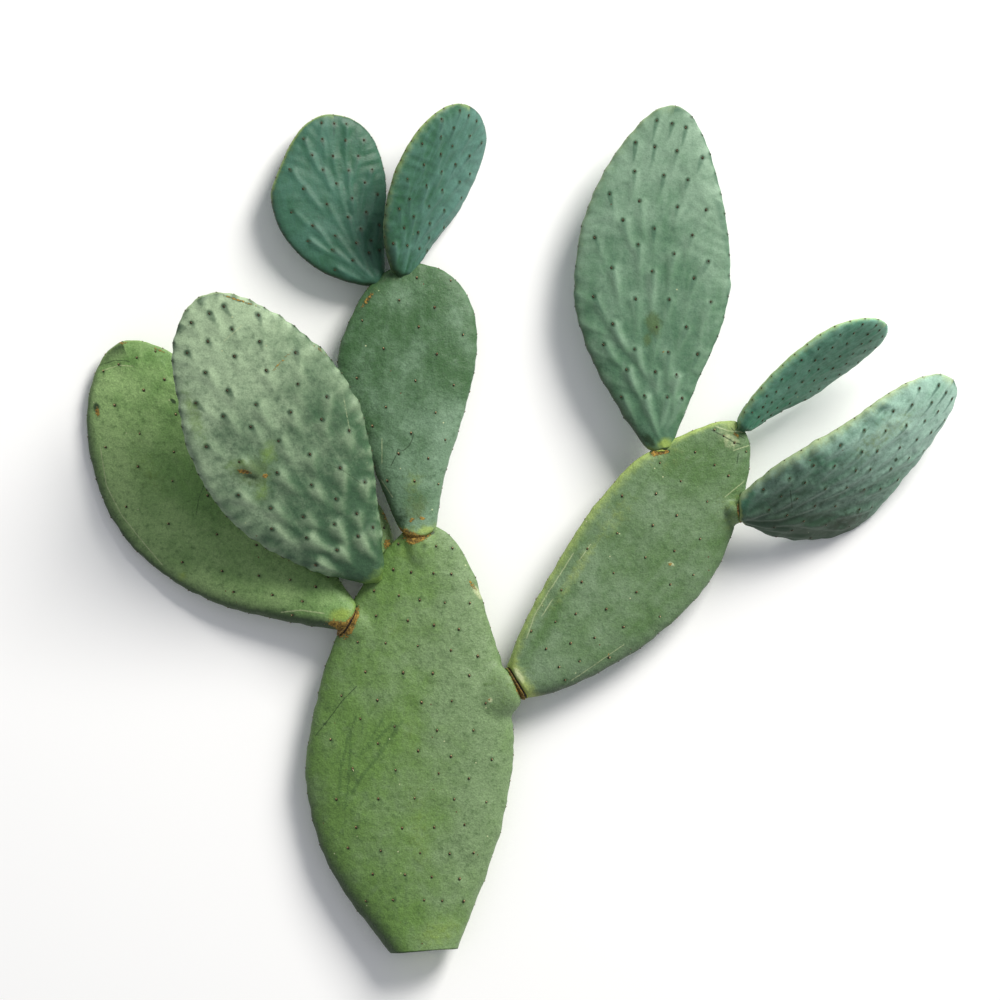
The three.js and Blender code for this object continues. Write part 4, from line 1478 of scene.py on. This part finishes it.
def model_areole(name, tuft_radius, bristles, spines):
    """One areole at the origin: up is out of the skin, and x runs towards the pad's tip."""
    parts = [felt_cushion()]
    deselect()
    bpy.ops.mesh.primitive_ico_sphere_add(subdivisions=1, radius=1)
    tuft = shaped((tuft_radius, tuft_radius, tuft_radius * 0.8), (TUFT_PLACE, 0, FIBRE_FOOT))
    bpy.ops.object.shade_smooth()
    tuft.data.materials.append(BRISTLE)
    parts.append(tuft)
    for k in range(bristles):
        turn = 2 * math.pi * k / bristles + chance.uniform(-0.3, 0.3)
        foot = (TUFT_PLACE + TUFT_SPREAD * math.cos(turn), TUFT_SPREAD * math.sin(turn), FIBRE_FOOT)
        length = BRISTLE_LENGTH * chance.uniform(0.7, 1.1)
        lean = chance.uniform(0.2, 0.7)
        parts.append(dry_cone(BRISTLE_RADIUS, length, lean, turn, BRISTLE, foot))
    for k in range(spines):
        turn = math.pi + 0.7 * k
        parts.append(dry_cone(SPINE_RADIUS, SPINE_LENGTH, 1.0, turn, SPINE, (-0.4, 0, FIBRE_FOOT)))
    areole = join(parts, name)
    areole.hide_render = True
    return areole


AREOLES = {
    "bare": model_areole("bare_areole", 0.2, 2, 0),
    "tufted": model_areole("tufted_areole", 0.65, 6, 0),
    "spined": model_areole("spined_areole", 0.8, 6, 1),
}
USUAL = {"old_skin": "tufted", "grown_skin": "tufted", "waxy_skin": "bare", "young_skin": "bare"}
# Near these places, on a face, old areoles kept their spine.
SPINED_SPOTS = [(-205, -252), (-177, -248), (-195, -200), (-148, -229)]
SPINED_NEAR, SPINED_ABOVE = 11, 30
print([len(a.data.polygons) for a in AREOLES.values()], "faces in an areole")


# %% [markdown]
# Each pad gets its areoles as copies, set on the finished skin, turned along its flow and varied a
# little in size. Instances would be lighter, but a copy with a mesh of its own can be joined, and a
# pad's areoles become one piece. Where another pad grows out of the skin, or the branch lies on the
# floor, there is none.

# %% Set the areoles on the pads
AREOLE_SIZE = {"old_skin": 0.9, "grown_skin": 0.86, "waxy_skin": 0.86, "young_skin": 0.75}
RIM_SIZE = 0.65  # how large an areole on the rim is, beside one on the face
CLEAR_OF_FLOOR = 3.0
CLEAR_OF_JOINT = 2


def is_bare(name, spot):
    """Whether a joint or the floor takes an areole's place."""
    for child in [c for c, parent in PARENTS.items() if parent == name]:
        foot, *_ = stations(PADS[child], 0.0)
        reach = max(PADS[child]["left"][0], PADS[child].get("collar", 0)) + CLEAR_OF_JOINT
        if np.linalg.norm(spot - foot) < reach:
            return True
    return spot[2] < CLEAR_OF_FLOOR


def set_areoles(name):
    """Set a pad's areoles, and say how many there are."""
    pad, slot = PADS[name], SLOTS[name]
    points, outward = positions(skins[name]), normals(skins[name])
    addresses = np.concatenate([face_areoles(pad), rim_areoles(pad)])
    copies = []
    for (_, across, _), place, along in zip(addresses, *flow_frames(pad, addresses)[:2]):
        nearest = np.argmin(((points - place) ** 2).sum(1))
        spot, up = points[nearest], outward[nearest]
        if is_bare(name, spot):
            continue
        forward = unit(along - up * (along @ up))
        size = AREOLE_SIZE[slot] * chance.uniform(0.8, 1.2) * (RIM_SIZE if abs(across) == 1 else 1)
        to_spined = min(math.dist(spot[:2], kept) for kept in SPINED_SPOTS)
        is_spined = spot[2] > SPINED_ABOVE and to_spined < SPINED_NEAR
        pattern = AREOLES["spined" if is_spined else USUAL[slot]]
        copy = pattern.copy()
        copy.data = pattern.data.copy()
        copy.hide_render = False
        axes = np.stack([forward, np.cross(up, forward), up], 1) * size
        copy.matrix_world = Matrix.LocRotScale(spot * MM, None, None) @ Matrix(axes.tolist()).to_4x4()
        bpy.context.collection.objects.link(copy)
        copies.append(copy)
    piece = join(copies, name + "_areoles")
    bpy.ops.object.transform_apply(location=True, rotation=True, scale=True)
    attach(piece, "root")
    return len(copies)


print({name: set_areoles(name) for name in PADS}, "areoles")
for pattern in AREOLES.values():
    bpy.data.objects.remove(pattern)


# %% [markdown]
# ## Corky collars
#
# Where an old pad carries another, cork has grown round the joint: two rough lips with a crease between
# them, coloured nearly black as painted shade. A collar starts as a sphere whose poles lie along the
# pad, sized as the solid in the frame. The crease is a groove round it that sags in the middle, and two
# Displace modifiers roughen the lips.

# %% Model a collar
COLLAR_HALF_LENGTH = 4.6  # along the pad
CREASE_DEPTH = 0.2  # share of the collar's own radius
CREASE_HALF_WIDTH = 0.26  # share of its half-length
CRUST_SIZE = 1.8 * MM
PATCH_SIZE = 7 * MM
# The crease colour is painted shade in the groove between the lips.
TISSUE_BELOW, TISSUE_ABOVE, CREASE_SHADE = "6d8c48", "a3b04c", "140d06"


def cork_material():
    """Weathered cork looks dry and crumbly: dark in its cracks, and tan where it stands up."""
    material, tree, shader = new_material("joint_cork")
    place = add(tree, "ShaderNodeTexCoord", {}, "Object")
    crease, bark, above = (add(tree, "ShaderNodeAttribute", {}, "Fac", attribute_name=key)
                           for key in ("crease", "bark", "above"))
    fine = {"Vector": place, "Scale": 1 / CRUST_SIZE, "Detail": 4.0, "Roughness": 0.65}
    crust = add(tree, "ShaderNodeTexNoise", fine)
    patches = add(tree, "ShaderNodeTexNoise", {"Vector": place, "Scale": 1 / PATCH_SIZE, "Detail": 3.0})
    tissue = {FACTOR: above, UNDER: TISSUE_BELOW, OVER: TISSUE_ABOVE}
    tissue = add(tree, "ShaderNodeMix", tissue, **COLOURS)
    tone = frayed(tree, None, crust, 1.0, -0.14, 0.2, 1.0)
    scab = add(tree, "ShaderNodeMix", {FACTOR: tone, UNDER: CORK_DARK, OVER: CORK_LIGHT}, **COLOURS)
    cover = frayed(tree, bark, patches, 2.0, 0.35, 0.7, 1.0)
    colour = add(tree, "ShaderNodeMix", {FACTOR: cover, UNDER: tissue, OVER: scab}, **COLOURS)
    colour = add(tree, "ShaderNodeMix", {FACTOR: crease, UNDER: colour, OVER: CREASE_SHADE}, **COLOURS)
    tree.links.new(colour, shader.inputs["Base Color"])
    shader.inputs["Roughness"].default_value = 0.7
    normal = add(tree, "ShaderNodeBump", {"Height": crust, "Strength": 0.8, "Distance": 0.6 * MM})
    tree.links.new(normal, shader.inputs["Normal"])
    return material


JOINT_CORK = cork_material()
COLLAR_WAVES = [(4, 0.9), (1.6, 0.4)]  # size and height


def build_collar(name):
    pad = PADS[name]
    deselect()
    bpy.ops.mesh.primitive_uv_sphere_add(segments=120, ring_count=48, radius=1)
    piece = bpy.context.object
    piece.name = name + "_cork"
    bpy.ops.object.shade_smooth()
    ball = positions(piece) * MM
    leftness, facing, along_share = ball.T
    crease = fading(along_share, CREASE_HALF_WIDTH)
    squeeze = 1 - CREASE_DEPTH * crease
    middle, along, left, face = stations(pad, 0.0)
    _, _, (half_left, half_right), childs, parents = JOINTS[name]
    points = middle + np.outer(along_share * COLLAR_HALF_LENGTH - crease_drop(name, facing), along)
    points += np.outer(leftness * squeeze * np.where(leftness > 0, half_left, half_right), left)
    points += np.outer(facing * squeeze * pad["thickness"][0] / 2, face)
    set_positions(piece, points)
    distance, to_left = np.abs(along_share) * COLLAR_HALF_LENGTH, (1 + leftness) / 2
    up_child, down_parent = (cork_at(distance, ends, to_left) for ends in (childs, parents))
    carry(piece, {
        # where the groove gets painted shade
        "crease": np.clip(crease * 1.3 - 0.2, 0, 1),
        "bark": np.where(along_share > 0, up_child, down_parent),
        "above": np.clip(0.5 + along_share * 3, 0, 1),
    })
    for size, height in COLLAR_WAVES:
        swell(piece, size, height)
    select_only(piece)
    bpy.ops.object.mode_set(mode="EDIT")
    bpy.ops.mesh.select_all(action="SELECT")
    bpy.ops.mesh.normals_make_consistent(inside=False)
    bpy.ops.object.mode_set(mode="OBJECT")
    piece.data.materials.append(JOINT_CORK)
    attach(piece, "root")
    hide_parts(name + "_collar")
    return piece


collars = [build_collar(name) for name in PADS if "collar" in PADS[name]]
print(len(collars), "collars")
